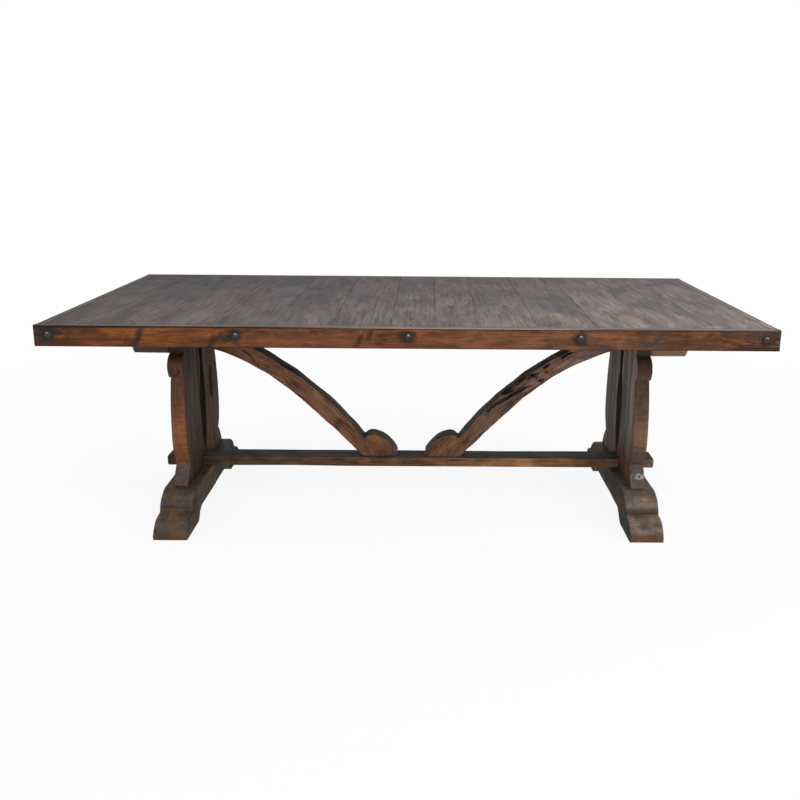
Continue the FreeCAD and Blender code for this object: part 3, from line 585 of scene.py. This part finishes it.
# %% Finish of the feet
# In the right list the pale band from 0.04 to 0.07 m is partly a painted highlight on the proud toe; in both,
# the dark band near 0.08 m is painted shade in the crease.
LEFT_FOOT_TONE_LIGHT_AND_SHADE = [(0.0, (0.086, 0.056, 0.038)), (0.030, (0.078, 0.058, 0.045)),
             (0.062, (0.096, 0.068, 0.050)), (0.072, (0.168, 0.082, 0.037)),
             (0.080, (0.068, 0.043, 0.030)), (0.098, (0.096, 0.070, 0.056)),
             (0.116, (0.116, 0.082, 0.058)), (0.131, (0.050, 0.042, 0.036))]
RIGHT_FOOT_TONE_LIGHT_AND_SHADE = [(0.0, (0.108, 0.053, 0.026)), (0.022, (0.116, 0.065, 0.039)),
              (0.040, (0.158, 0.119, 0.098)), (0.058, (0.196, 0.139, 0.105)),
              (0.068, (0.185, 0.120, 0.088)), (0.076, (0.060, 0.036, 0.024)),
              (0.084, (0.060, 0.040, 0.029)), (0.097, (0.128, 0.104, 0.091)),
              (0.115, (0.123, 0.088, 0.071)), (0.131, (0.098, 0.073, 0.059))]
FOOT_CREASE = (0.318, 0.070)
BARE_PATCH = (0.826, 0.113)


def foot_wood():
    wood = Timber("foot_wood", "Y", seed=3.4, ring_gap=0.021)
    wood.grain(fibre=0.24, rings=0.10, patches=0.50, cloud=(10, 1.5))
    level = wood.z + (wood.patch - 0.5) * 0.016
    sawn = wood.facing("X")
    front = each_side(wood, wood.steps(level, LEFT_FOOT_TONE_LIGHT_AND_SHADE), wood.steps(level, RIGHT_FOOT_TONE_LIGHT_AND_SHADE), 0.55, 1.45)
    flat = each_side(wood, (0.056, 0.044, 0.031), (0.042, 0.037, 0.030))
    wood.colour = wood.blend(sawn, front, flat)
    orange = wood.noise(15, stretch=1.2, detail=5, shift=1.7).fade(0.52, 0.68)
    wood.stain(orange * 0.40, (0.170, 0.075, 0.034))
    soot = wood.noise(18, stretch=1.4, detail=5, shift=5.5).fade(0.50, 0.66)
    wood.stain(soot * 0.50, (0.036, 0.030, 0.026))
    lines = wood.noise(60, stretch=7, detail=5, shift=3.9, drawn="X").fade(0.50, 0.66)
    wood.stain(lines * (1 - sawn) * 0.45, (0.040, 0.028, 0.021))
    # partly wear, partly painted highlight: pale patches on the upward faces, stronger on the right
    rubbed = wood.noise(24, stretch=1.3, detail=4, shift=12.5).fade(0.58, 0.70) * wood.upward(0.1, 0.7)
    wood.stain(rubbed * (wood.rightward * 0.25 + 0.20), (0.200, 0.170, 0.150))
    # painted shade: a dark spot in the crease where the scroll begins
    inward, rise = abs(wood.y) - FOOT_CREASE[0], wood.z - FOOT_CREASE[1]
    crease = 1 - ((inward * inward + rise * rise) ** 0.5).fade(0.002, 0.008)
    wood.stain(crease * (wood.rightward * 0.4 + 0.4), (0.020, 0.012, 0.008))
    bare = wood.spot(BARE_PATCH, (0.013, 0.008), ragged=0.7) * (1 - wood.y.fade(-0.3, -0.2))
    wood.stain(bare * 0.8, (0.330, 0.150, 0.065))
    # painted shade: the rear of each foot is darkened
    wood.stain(wood.y.fade(0.02, 0.30) * 0.38, (0.022, 0.018, 0.015))
    splits(wood, sawn * 0.8)
    return wood.finish(shine=sawn * 0.25 + 0.50, spread=0.3, relief=0.0011, gloss=0.08)


foot_finish = foot_wood()
print("foot finish:", len(foot_finish.node_tree.nodes), "nodes")

# %% [markdown]
# A brace was sawn from a bent limb, so its grain follows the arm. The finish turns its
# coordinates to the slope of the brace and bends them a little; it mirrors them with
# the absolute value of X, and slides one side along so the two braces don't match.

# %% Finish of the braces
LEFT_BRACE = [(0.03, (0.100, 0.048, 0.027)), (0.16, (0.103, 0.050, 0.028)), (0.22, (0.150, 0.070, 0.040)),
              (0.30, (0.176, 0.085, 0.048)), (0.45, (0.178, 0.091, 0.055)), (0.70, (0.172, 0.089, 0.055))]
# On the right brace, the brightening towards the upper arm is painted light from the right.
RIGHT_BRACE_TONE_AND_LIGHT = [(0.03, (0.106, 0.053, 0.030)), (0.09, (0.112, 0.055, 0.031)), (0.13, (0.150, 0.075, 0.042)),
               (0.20, (0.150, 0.078, 0.048)), (0.30, (0.128, 0.074, 0.052)), (0.38, (0.155, 0.091, 0.066)),
               (0.46, (0.205, 0.121, 0.088)), (0.58, (0.265, 0.161, 0.121)), (0.70, (0.250, 0.160, 0.120))]
WORN_SCROLL = (-0.137, 0.246)
# Each dark patch at a pit or crack, partly painted shade, has its place, its length and width, and its depth.
PIT_PATCHES_AND_SHADE = (((0.359, 0.428), (0.030, 0.011), 0.90), ((0.378, 0.446), (0.034, 0.008), 0.60),
         ((0.409, 0.474), (0.036, 0.012), 0.90), ((0.441, 0.484), (0.022, 0.010), 0.90),
         ((0.461, 0.494), (0.020, 0.009), 0.85), ((0.566, 0.578), (0.036, 0.012), 0.70),
         ((0.478, 0.472), (0.016, 0.007), 0.80), ((0.498, 0.506), (0.008, 0.005), 0.80),
         ((0.503, 0.526), (0.014, 0.006), 0.80), ((0.410, 0.446), (0.060, 0.007), 0.50))


def brace_wood(slope=math.radians(39), sag=0.38, bend_at=0.55):
    wood = Timber("brace_wood", "X", seed=4.7, ring_gap=0.008)
    side = wood.x.fade(-0.01, 0.01)
    reach = abs(wood.x)
    run = reach * math.cos(slope) + wood.z * math.sin(slope)
    rise = wood.z * math.cos(slope) - reach * math.sin(slope)
    middle = run - bend_at
    wood.start = wood.join(run, wood.y + side * 7.3, rise + middle * middle * sag)
    wood.grain(fibre=0.52, rings=0.16, patches=0.46, long=8, cloud=(22, 1.8))
    front = each_side(wood, wood.steps(reach, LEFT_BRACE), wood.steps(reach, RIGHT_BRACE_TONE_AND_LIGHT), 0.40, 1.65)
    wood.colour = wood.blend(wood.upward(0.30, 0.60), front, wood.toned((0.041, 0.036, 0.029)))
    dark = wood.noise(42, stretch=6, detail=6, shift=4.4, warp=0.3).fade(0.52, 0.66)
    wood.stain(dark * (reach.fade(0.12, 0.22) * 0.30 + 0.22), (0.026, 0.015, 0.011))
    warm = wood.noise(30, stretch=2, detail=5, shift=8.1).fade(0.50, 0.66)
    wood.stain(warm * (1 - wood.upward(0.2, 0.5)) * 0.50, (0.215, 0.090, 0.040))
    worn_scroll = wood.spot(WORN_SCROLL, (0.030, 0.022), 0.6, ragged=0.9, sharp=0.1)
    wood.stain(worn_scroll * 0.5, (0.250, 0.115, 0.050))
    # dark patches at the pits and cracks, partly painted shade round them
    for centre, size, depth in PIT_PATCHES_AND_SHADE:
        dark_patch = wood.spot(centre, size, slope, ragged=0.75, sharp=0.3)
        wood.stain(dark_patch * depth, (0.009, 0.007, 0.006))
    splits(wood, reach.fade(0.14, 0.24) * 0.6 + 0.2)
    return wood.finish(shine=0.60, spread=0.25, relief=0.0012, gloss=0.07)


brace_finish = brace_wood()
print("brace finish:", len(brace_finish.node_tree.nodes), "nodes")

# %% [markdown]
# Shoes rub the stretcher's front to gold and leave its top grey. The rails, arms and
# ledgers under the top share one plain wood that was never waxed; it is painted lighter
# towards the right, as painted light from the right.

# %% Finishes of the stretcher and the rails
def stretcher_wood():
    wood = Timber("stretcher_wood", "X", seed=5.9)
    wood.grain(fibre=0.48, rings=0.14, patches=0.60, long=12, cloud=(17, 2.6))
    front = wood.steps(wood.x, [(-0.92, (0.050, 0.040, 0.034)), (-0.72, (0.118, 0.066, 0.037)),
                                (-0.30, (0.097, 0.050, 0.027)), (0.10, (0.132, 0.068, 0.036)),
                                (0.45, (0.245, 0.124, 0.056)), (0.70, (0.150, 0.078, 0.041)),
                                (0.92, (0.120, 0.100, 0.080))])
    wood.colour = wood.blend(wood.upward(0.30, 0.60), wood.toned(front), wood.toned((0.057, 0.054, 0.048)))
    dark = wood.noise(40, stretch=6, detail=5, shift=4.4).fade(0.54, 0.70)
    wood.stain(dark * 0.55, (0.024, 0.017, 0.013))
    golden = wood.noise(26, stretch=3, detail=5, shift=9.6).fade(0.54, 0.68) * (1 - wood.upward(0.2, 0.5))
    wood.stain(golden * 0.50, (0.270, 0.135, 0.056))
    splits(wood)
    return wood.finish(shine=0.62, spread=0.2, relief=0.0011, gloss=0.07)


def under_wood():
    wood = Timber("under_wood", "X", seed=6.5)
    wood.grain(fibre=0.45, rings=0.22, patches=0.40)
    # painted light: the wood brightens from left to right, as lit from the right
    wood.colour = wood.blend(wood.x.fade(-0.8, 0.8), wood.toned((0.076, 0.052, 0.040)),
                             wood.toned((0.330, 0.210, 0.136)))
    splits(wood)
    return wood.finish(shine=0.55, relief=0.0010, gloss=0.10)


stretcher_finish = stretcher_wood()
under_finish = under_wood()
print("trestle finishes ready")

# %% [markdown]
# The ironwork is black and hammered, with a painted highlight high on the crown of each
# head. The plugs are dark end grain.

# %% Finishes of the small pieces
def painted_crown_highlight(iron):
    """A painted highlight: the bright patch high on each head, where the surface faces up."""
    along, across, up = iron.normal
    flank = abs(along).least(abs(across))
    return up.fade(0.30, 0.42) * (1 - up.fade(0.58, 0.72)) * (1 - flank.fade(0.10, 0.28))


def iron_finish(name, colour, shine, gloss=0.5):
    iron = Timber(name, "Z")
    beaten = iron.noise(160, detail=3, rough=0.5)
    iron.pores = iron.noise(700, detail=2, shift=2.0).fade(0.58, 0.70)
    iron.colour = iron.blend(beaten, tuple(v * 0.5 for v in colour), tuple(v * 1.6 for v in colour))
    # painted highlight: a pale patch high on the crown of each head
    iron.stain(painted_crown_highlight(iron) * 0.70, (0.40, 0.41, 0.43))
    iron.height = beaten * 2 - iron.pores * 0.4
    iron.feed(iron.shader.inputs["Metallic"], 0.35)
    return iron.finish(shine=shine, spread=0.3, relief=0.0005, gloss=gloss)


def plug_finish():
    wood = Timber("plug_wood", "Y")
    wood.grain(fibre=0.3, rings=0.1, patches=0.3)
    wood.colour = wood.toned((0.032, 0.025, 0.021), 0.6, 1.4)
    return wood.finish(shine=0.5)


stud_finish = iron_finish("stud_iron", (0.022, 0.023, 0.025), 0.42, gloss=0.3)
nail_finish = iron_finish("nail_iron", (0.012, 0.010, 0.009), 0.60)
bolt_finish = iron_finish("fastener_steel", (0.30, 0.30, 0.31), 0.40)
plugs = plug_finish()

# %% [markdown]
# Now each piece of the frame takes its finish. A frame piece is never moved or reshaped;
# only its material slots change.

# %% Dress the frame
FINISHES = {
    "top_plank": top_finish, "edge_board_front": long_edge_finish, "edge_board_back": long_edge_finish,
    "edge_board": short_edge_finish, "post": post_finish, "foot": foot_finish, "brace": brace_finish,
    "stretcher": stretcher_finish, "studs": stud_finish, "plank_nails": nail_finish, "heel_plugs": plugs,
    **dict.fromkeys(("ledger", "top_rail", "head_rail", "bearer_arm"), under_finish),
    **dict.fromkeys(("brace_screws", "brace_bolts", "arm_screws", "head_bolts"), bolt_finish),
}


def finish_of(name):
    """The finish whose key is the longest start of the piece's name."""
    return FINISHES[max(filter(name.startswith, FINISHES), key=len)]


for name, piece in nodes.items():
    for slot in piece.material_slots:
        slot.material = finish_of(name)
print(len(nodes), "frame pieces dressed")

# %% [markdown]
# Old timber isn't flat and its edges aren't sharp. A copy of each carved piece is remeshed
# into an even net of small squares and smoothed a little, which rounds its arrises. Then
# a Geometry Nodes tree pushes the surface in: shallow hollows, tool marks along the
# grain, and cracks. A crack is a line of points with a reach and a depth; a vertex sinks
# by how near it lies to them, and keeps that nearness as the "crack" attribute.

# %% The weathering tree
class Sockets:
    """The named inputs of a Geometry Nodes tree, and the identifiers that set them."""

    def __init__(self, tree):
        self.tree = tree
        self.group = tree.tree
        self.keys = {}
        self.entry = self.group.nodes.new("NodeGroupInput")

    def take(self, name, kind):
        socket = self.group.interface.new_socket(name, in_out="INPUT", socket_type="NodeSocket" + kind)
        self.keys[name] = socket.identifier
        return Wire(self.tree, self.entry.outputs[name])


def close_tree(tree, shape, material):
    """End a tree: real geometry with its material on it."""
    real = tree.add("GeometryNodeRealizeInstances", {"Geometry": shape})
    dressed = tree.add("GeometryNodeSetMaterial", {"Geometry": real, "Material": material})
    tree.tree.interface.new_socket("Geometry", in_out="OUTPUT", socket_type="NodeSocketGeometry")
    leave = tree.tree.nodes.new("NodeGroupOutput")
    tree.feed(leave.inputs[0], dressed)


def weathering_tree():
    tree = Tree(bpy.data.node_groups.new("weathered_timber", "GeometryNodeTree"))
    ports = Sockets(tree)
    shape = ports.take("Geometry", "Geometry")
    hollow = ports.take("Hollow Depth", "Float")
    swell = ports.take("Swell Share", "Float")
    marks = ports.take("Tool Mark Depth", "Float")
    cracks = ports.take("Cracks", "Object")
    stretch = ports.take("Grain Stretch", "Vector")
    seed = ports.take("Seed", "Vector")
    material = ports.take("Finish", "Material")
    spot = tree.add("GeometryNodeInputPosition")
    normal = tree.add("GeometryNodeInputNormal")
    drawn = tree.vector("MULTIPLY", tree.vector("ADD", spot, seed), stretch)
    broad = tree.add("ShaderNodeTexNoise", {"Vector": drawn, "Scale": 14, "Detail": 1})
    fine = tree.add("ShaderNodeTexNoise", {"Vector": drawn, "Scale": 85, "Detail": 2})
    points = tree.add("GeometryNodeObjectInfo", {"Object": cracks}, out="Geometry")
    gap = tree.add("GeometryNodeProximity", {0: points}, out="Distance", target_element="POINTS")
    nearest = tree.add("GeometryNodeSampleNearest", {"Geometry": points, "Sample Position": spot})
    named = [tree.add("GeometryNodeInputNamedAttribute", {"Name": name}, data_type="FLOAT")
             for name in ("reach", "depth")]
    reach, depth = (tree.add("GeometryNodeSampleIndex", {
        "Geometry": points, "Value": value, "Index": nearest}) for value in named)
    near = 1 - (gap / reach.most(0.0005)).fade(0.3, 1.0)
    contact = tree.split(spot)[2].fade(0.001, 0.02)
    sink = ((broad.fade(0.35, 0.8) - swell) * hollow + fine * marks) * contact + near * depth
    worn = tree.add("GeometryNodeSetPosition", {"Geometry": shape, "Offset": tree.scaled(normal, sink * -1)})
    kept = tree.add("GeometryNodeStoreNamedAttribute", {"Geometry": worn, "Name": "crack", "Value": near},
                    data_type="FLOAT", domain="POINT")
    close_tree(tree, kept, material)
    return ports


weathering = weathering_tree()
print("weathering tree:", len(weathering.group.nodes), "nodes")

# %% [markdown]
# The cracks are drawn one by one, as a joiner would mark them on the board. Each point of a
# stroke has its place on the board's face, then the crack's half width and its depth
# there, all in metres. A little seeded unevenness keeps the edges from looking ruled.

# %% Cracks
FRONT_OF_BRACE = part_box("brace_right")[0].y
INNER_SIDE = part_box("post_left_front")[1].x
FAR_BELOW = -50
POST_CRACKS = {
    "post_left_rear": [
        [(0.116, 0.472, 0.0100, 0.010), (0.116, 0.440, 0.0135, 0.018), (0.117, 0.400, 0.0135, 0.018),
         (0.120, 0.364, 0.0095, 0.010)],
    ],
    "post_left_front": [
        [(-0.0985, 0.300, 0.0030, 0.006), (-0.0960, 0.270, 0.0030, 0.008), (-0.0940, 0.246, 0.0025, 0.004)],
        [(-0.0500, 0.640, 0.0022, 0.005), (-0.0480, 0.520, 0.0026, 0.006), (-0.0520, 0.400, 0.0022, 0.004)],
    ],
}
BRACE_CRACKS = {
    "brace_right": [
        [(0.286, 0.353, 0.0055, 0.012), (0.321, 0.383, 0.0065, 0.016), (0.369, 0.4105, 0.0050, 0.016),
         (0.402, 0.430, 0.0045, 0.014), (0.428, 0.446, 0.0035, 0.010), (0.458, 0.454, 0.0022, 0.005)],
        [(0.342, 0.422, 0.0060, 0.012), (0.361, 0.430, 0.0085, 0.016), (0.380, 0.434, 0.0065, 0.012),
         (0.383, 0.449, 0.0035, 0.006)],
        [(0.394, 0.457, 0.0050, 0.010), (0.408, 0.477, 0.0060, 0.012), (0.427, 0.489, 0.0050, 0.008)],
        [(0.441, 0.496, 0.0045, 0.010), (0.456, 0.493, 0.0050, 0.012), (0.468, 0.485, 0.0045, 0.010),
         (0.464, 0.473, 0.0030, 0.006)],
        [(0.4795, 0.470, 0.0040, 0.010), (0.494, 0.4775, 0.0040, 0.008)],
        [(0.4925, 0.520, 0.0035, 0.010), (0.5106, 0.535, 0.0035, 0.008)],
        [(0.500, 0.505, 0.0030, 0.008), (0.504, 0.505, 0.0030, 0.008)],
        [(0.520, 0.489, 0.0030, 0.006), (0.523, 0.493, 0.0030, 0.006)],
        [(0.5615, 0.563, 0.0060, 0.012), (0.579, 0.578, 0.0070, 0.014), (0.594, 0.582, 0.0040, 0.008)],
        [(0.5675, 0.551, 0.0030, 0.006), (0.569, 0.553, 0.0030, 0.006)],
        [(0.116, 0.237, 0.0028, 0.006), (0.122, 0.239, 0.0028, 0.006)],
    ],
    "brace_left": [
        [(-0.622, 0.581, 0.0024, 0.006), (-0.5975, 0.558, 0.0026, 0.007), (-0.573, 0.5276, 0.0030, 0.008),
         (-0.5657, 0.520, 0.0022, 0.005)],
        [(-0.598, 0.539, 0.0020, 0.004), (-0.5695, 0.516, 0.0024, 0.005)],
    ],
}


def holder_of(data):
    """Put a mesh or a lamp in the scene, in an object of the same name."""
    holder = bpy.data.objects.new(data.name, data)
    bpy.context.scene.collection.objects.link(holder)
    return holder


def crack_points(name, strokes, place):
    """A cloud of points along each stroke, with a reach and a depth on every point."""
    random.seed(len(name))
    spots, reaches, depths = [], [], []
    for stroke in strokes:
        for (x1, z1, r1, d1), (x2, z2, r2, d2) in zip(stroke, stroke[1:]):
            steps = max(2, int(math.hypot(x2 - x1, z2 - z1) / 0.002))
            for step in range(steps + 1):
                part = step / steps
                spots.append(place(x1 + (x2 - x1) * part,
                                   z1 + (z2 - z1) * part + random.uniform(-1, 1) * 0.0006))
                reaches.append((r1 + (r2 - r1) * part) * random.uniform(1.1, 1.75))
                depths.append(d1 + (d2 - d1) * part)
    mesh = bpy.data.meshes.new(name + "_cracks")
    mesh.from_pydata(spots, [], [])
    for label, numbers in (("reach", reaches), ("depth", depths)):
        mesh.attributes.new(label, "FLOAT", "POINT").data.foreach_set("value", numbers)
    return holder_of(mesh)


def on_front(x, z):
    return (x, FRONT_OF_BRACE, z)


def on_inner_side(y, z):
    return (INNER_SIDE, y, z)


# %% [markdown]
# The copy is merged first, because a frame piece is a net of loose triangles. When the
# modifiers have done their work, the result is frozen into a plain mesh that stands for
# the frame piece.

# %% Copies that stand for frame pieces
def freeze(holder):
    """Turn an object with modifiers into one with a plain mesh."""
    depsgraph = bpy.context.evaluated_depsgraph_get()
    mesh = bpy.data.meshes.new_from_object(holder.evaluated_get(depsgraph))
    holder.modifiers.clear()
    holder.data = mesh


def merged_copy(node):
    mesh = bpy.data.meshes.new("worn_" + node)
    joined = bmesh.new()
    joined.from_mesh(nodes[node].data)
    bmesh.ops.remove_doubles(joined, verts=joined.verts, dist=0.000002)
    joined.to_mesh(mesh)
    joined.free()
    return holder_of(mesh)


def grow(holder, ports, settings):
    """Run a Geometry Nodes tree on an object and keep what it makes."""
    drive = holder.modifiers.new(ports.group.name, "NODES")
    drive.node_group = ports.group
    for name, value in settings.items():
        drive[ports.keys[name]] = value
    freeze(holder)


def stand_in(holder, node):
    """Let a finished copy stand for its frame piece."""
    holder.data.polygons.foreach_set("use_smooth", [True] * len(holder.data.polygons))
    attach(holder, "root")
    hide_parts(node)
    print(holder.name, len(holder.data.polygons), "faces")


# %% [markdown]
# Each carved piece gets its own seed and depth of wear: the braces and feet are the most
# hollowed. A sound board still needs a crack to measure from, so it gets one far below
# the floor. The worn surface stays inside the frame piece's own box.

# %% Weather the carved pieces
def weather(node, along, pitch=0.004, hollow=0.0016, swell=0.0, marks=0.0008, soften=3,
            cracks=None):
    holder = merged_copy(node)
    net = holder.modifiers.new("even_net", "REMESH")
    net.mode = "VOXEL"
    net.voxel_size = pitch
    rub = holder.modifiers.new("rubbed", "SMOOTH")
    rub.factor = 0.5
    rub.iterations = soften
    stretch = [0.16 if axis == along else 1.0 for axis in "XYZ"]
    seed = [len(node) * 0.37, sum(map(ord, node)) * 0.011, 0.0]
    grow(holder, weathering, {
        "Hollow Depth": hollow, "Swell Share": swell, "Tool Mark Depth": marks, "Cracks": cracks or blank,
        "Grain Stretch": stretch, "Seed": seed, "Finish": finish_of(node)})
    low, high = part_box(node)
    for vertex in holder.data.vertices:
        vertex.co = [min(max(v, a), b) for v, a, b in zip(vertex.co, low, high)]
    stand_in(holder, node)


blank = crack_points("none", [[(0, FAR_BELOW, 0.001, 0)] * 2], on_front)
crack_sets = {node: crack_points(node, strokes, place)
              for table, place in ((BRACE_CRACKS, on_front), (POST_CRACKS, on_inner_side))
              for node, strokes in table.items()}
for side in ("left", "right"):
    weather("foot_" + side, "Y", hollow=0.0040, swell=0.5)
    weather("brace_" + side, "X", pitch=0.0026, hollow=0.0045, swell=0.65, soften=2,
            cracks=crack_sets["brace_" + side])
    for row in ("front", "rear"):
        post = "post_%s_%s" % (side, row)
        weather(post, "Z", pitch=0.0035, cracks=crack_sets.get(post))
        weather("bearer_arm_%s_%s" % (side, row), "X")
weather("stretcher", "X", hollow=0.0030, swell=0.6, marks=0.0005, soften=2)
for holder in [blank, *crack_sets.values()]:
    bpy.data.objects.remove(holder)

# %% [markdown]
# Sixteen studs repeat along the edge boards, so they are instances: a tree sets one
# hammered head on each point, turns each by a random angle, and makes it real. Noise
# dents the dome, as the hammer did.

# %% The stud tree
FULL_TURN = 6.28


def stud_tree():
    tree = Tree(bpy.data.node_groups.new("hammered_studs", "GeometryNodeTree"))
    ports = Sockets(tree)
    points = ports.take("Geometry", "Geometry")
    radius = ports.take("Head Radius", "Float")
    height = ports.take("Head Height", "Float")
    facing = ports.take("Facing", "Vector")
    dent = ports.take("Dent Depth", "Float")
    seed = ports.take("Seed", "Int")
    material = ports.take("Finish", "Material")
    ball = tree.add("GeometryNodeMeshIcoSphere", {"Radius": 1.0, "Subdivisions": 5})
    spot = tree.add("GeometryNodeInputPosition")
    across, along, out = tree.split(tree.vector("MULTIPLY", spot, tree.join(radius, radius, height)))
    domed = tree.join(across, along, out.most(0.0))
    head = tree.add("GeometryNodeSetPosition", {"Geometry": ball, "Position": domed})
    aimed = tree.add("GeometryNodeInstanceOnPoints", {"Points": points, "Instance": head, "Rotation": facing})
    spin = tree.add("FunctionNodeRandomValue", {2: 0.0, 3: FULL_TURN, "Seed": seed}, out=1, data_type="FLOAT")
    spun = tree.add("GeometryNodeRotateInstances", {
        "Instances": aimed, "Rotation": tree.join(0.0, 0.0, spin), "Local Space": True})
    real = tree.add("GeometryNodeRealizeInstances", {"Geometry": spun})
    beat = tree.add("ShaderNodeTexNoise", {"Vector": spot, "Scale": 120, "Detail": 1})
    push = tree.scaled(tree.add("GeometryNodeInputNormal"), beat * dent * -1)
    beaten = tree.add("GeometryNodeSetPosition", {"Geometry": real, "Offset": push})
    close_tree(tree, beaten, material)
    return ports


studs = stud_tree()
print("stud tree:", len(studs.group.nodes), "nodes")

# %% [markdown]
# The front and back have five studs each and the ends three. A row is a mesh of bare
# points, and the tree's inputs set the size of the heads and turn them outwards.

# %% Rows of studs
def stud_row(node, spots, facing):
    mesh = bpy.data.meshes.new("hammered_" + node)
    mesh.from_pydata([(x, y, STUD_LEVEL) for x, y in spots], [], [])
    row = holder_of(mesh)
    grow(row, studs, {
        "Head Radius": 0.0128, "Head Height": 0.0079, "Facing": facing, "Dent Depth": 0.0016,
        "Seed": len(node), "Finish": stud_finish})
    stand_in(row, node)


long_row = [-CORNER_STUD, -MIDDLE_STUD, 0.0, MIDDLE_STUD, CORNER_STUD]
short_row = [-END_STUD, 0.0, END_STUD]
quarter = math.pi / 2
stud_row("studs_front", [(x, -BOARD_FACE) for x in long_row], [quarter, 0.0, 0.0])
stud_row("studs_back", [(x, BOARD_FACE) for x in long_row], [-quarter, 0.0, 0.0])
stud_row("studs_left", [(-BOARD_END, y) for y in short_row], [0.0, -quarter, 0.0])
stud_row("studs_right", [(BOARD_END, y) for y in short_row], [0.0, quarter, 0.0])

# %% [markdown]
# The floor is a pale disc that fades into the white round it, so no horizon shows and
# the table's soft shadow stays. Only the camera and mirror-like rays see the full white
# of the world; what lights the wood is set apart from it.

# %% Floor
class Backdrop(Tree):
    """The node tree of the floor or of the world."""

    def seen(self):
        """1 for what the camera and mirrors see, and 0 for what lights the wood."""
        outs = self.add("ShaderNodeLightPath").socket.node.outputs
        camera, mirror, glass = (Wire(self, outs["Is %s Ray" % kind])
                                 for kind in ("Camera", "Glossy", "Transmission"))
        return camera.most(mirror).most(glass)


FLOOR_LIFT, AMBIENT = 0.90, 0.62


def lay_floor(radius=9.0):
    bpy.ops.mesh.primitive_circle_add(vertices=96, radius=radius, fill_type="NGON", location=(0, 0, 0))
    floor = bpy.context.object
    floor.name = "pale_floor"
    material = bpy.data.materials.new("pale_floor")
    material.use_nodes = True
    sheet = Backdrop(material.node_tree)
    leave = sheet.tree.nodes["Material Output"]
    shader = sheet.tree.nodes["Principled BSDF"]
    for name, value in (("Base Color", (0.86, 0.86, 0.86, 1)), ("Roughness", 0.9),
                        ("Specular IOR Level", 0.0)):
        shader.inputs[name].default_value = value
    paper = sheet.add("ShaderNodeEmission", {"Color": (1, 1, 1, 1), "Strength": 1.0})
    lifted = sheet.add("ShaderNodeMixShader", {
        0: sheet.seen() * FLOOR_LIFT, 1: Wire(sheet, shader.outputs[0]), 2: paper})
    place = sheet.add("ShaderNodeTexCoord", out="Object")
    away = sheet.add("ShaderNodeVectorMath", {0: place}, out="Value", operation="LENGTH")
    clear = sheet.add("ShaderNodeBsdfTransparent")
    mixed = sheet.add("ShaderNodeMixShader", {0: away.fade(1.4, 3.6), 1: lifted, 2: clear})
    sheet.feed(leave.inputs["Surface"], mixed)
    floor.data.materials.append(material)


lay_floor()
print("floor laid")

# %% [markdown]
# Large lamps make soft shadows: a key from the right front, a fill from the left, and
# one overhead. A small one gives the studs their glint.

# %% World and lamps
world = bpy.data.worlds.new("studio")
bpy.context.scene.world = world
world.use_nodes = True
sky = Backdrop(world.node_tree)
background = world.node_tree.nodes["Background"].inputs
sky.feed(background["Strength"], sky.seen() * (1 - AMBIENT) + AMBIENT)
background["Color"].default_value = (1, 1, 1, 1)


def softbox(name, place, aim, size, power):
    lamp = bpy.data.lights.new(name, "AREA")
    lamp.shape = "DISK"
    lamp.size = size
    lamp.energy = power
    holder = holder_of(lamp)
    holder.location = place
    holder.rotation_euler = (Vector(aim) - Vector(place)).to_track_quat("-Z", "Y").to_euler()


softbox("key", (3.0, -2.6, 2.3), (0, 0, 0.5), 2.2, 85)
softbox("fill", (-2.8, -3.8, 1.7), (0, 0, 0.4), 2.4, 40)
softbox("top_light", (0.6, 1.2, 4.2), (0, 0, 0.7), 3.0, 24)
softbox("glint", (-0.3, -2.6, 3.4), (0, -0.5, 0.75), 0.45, 16)
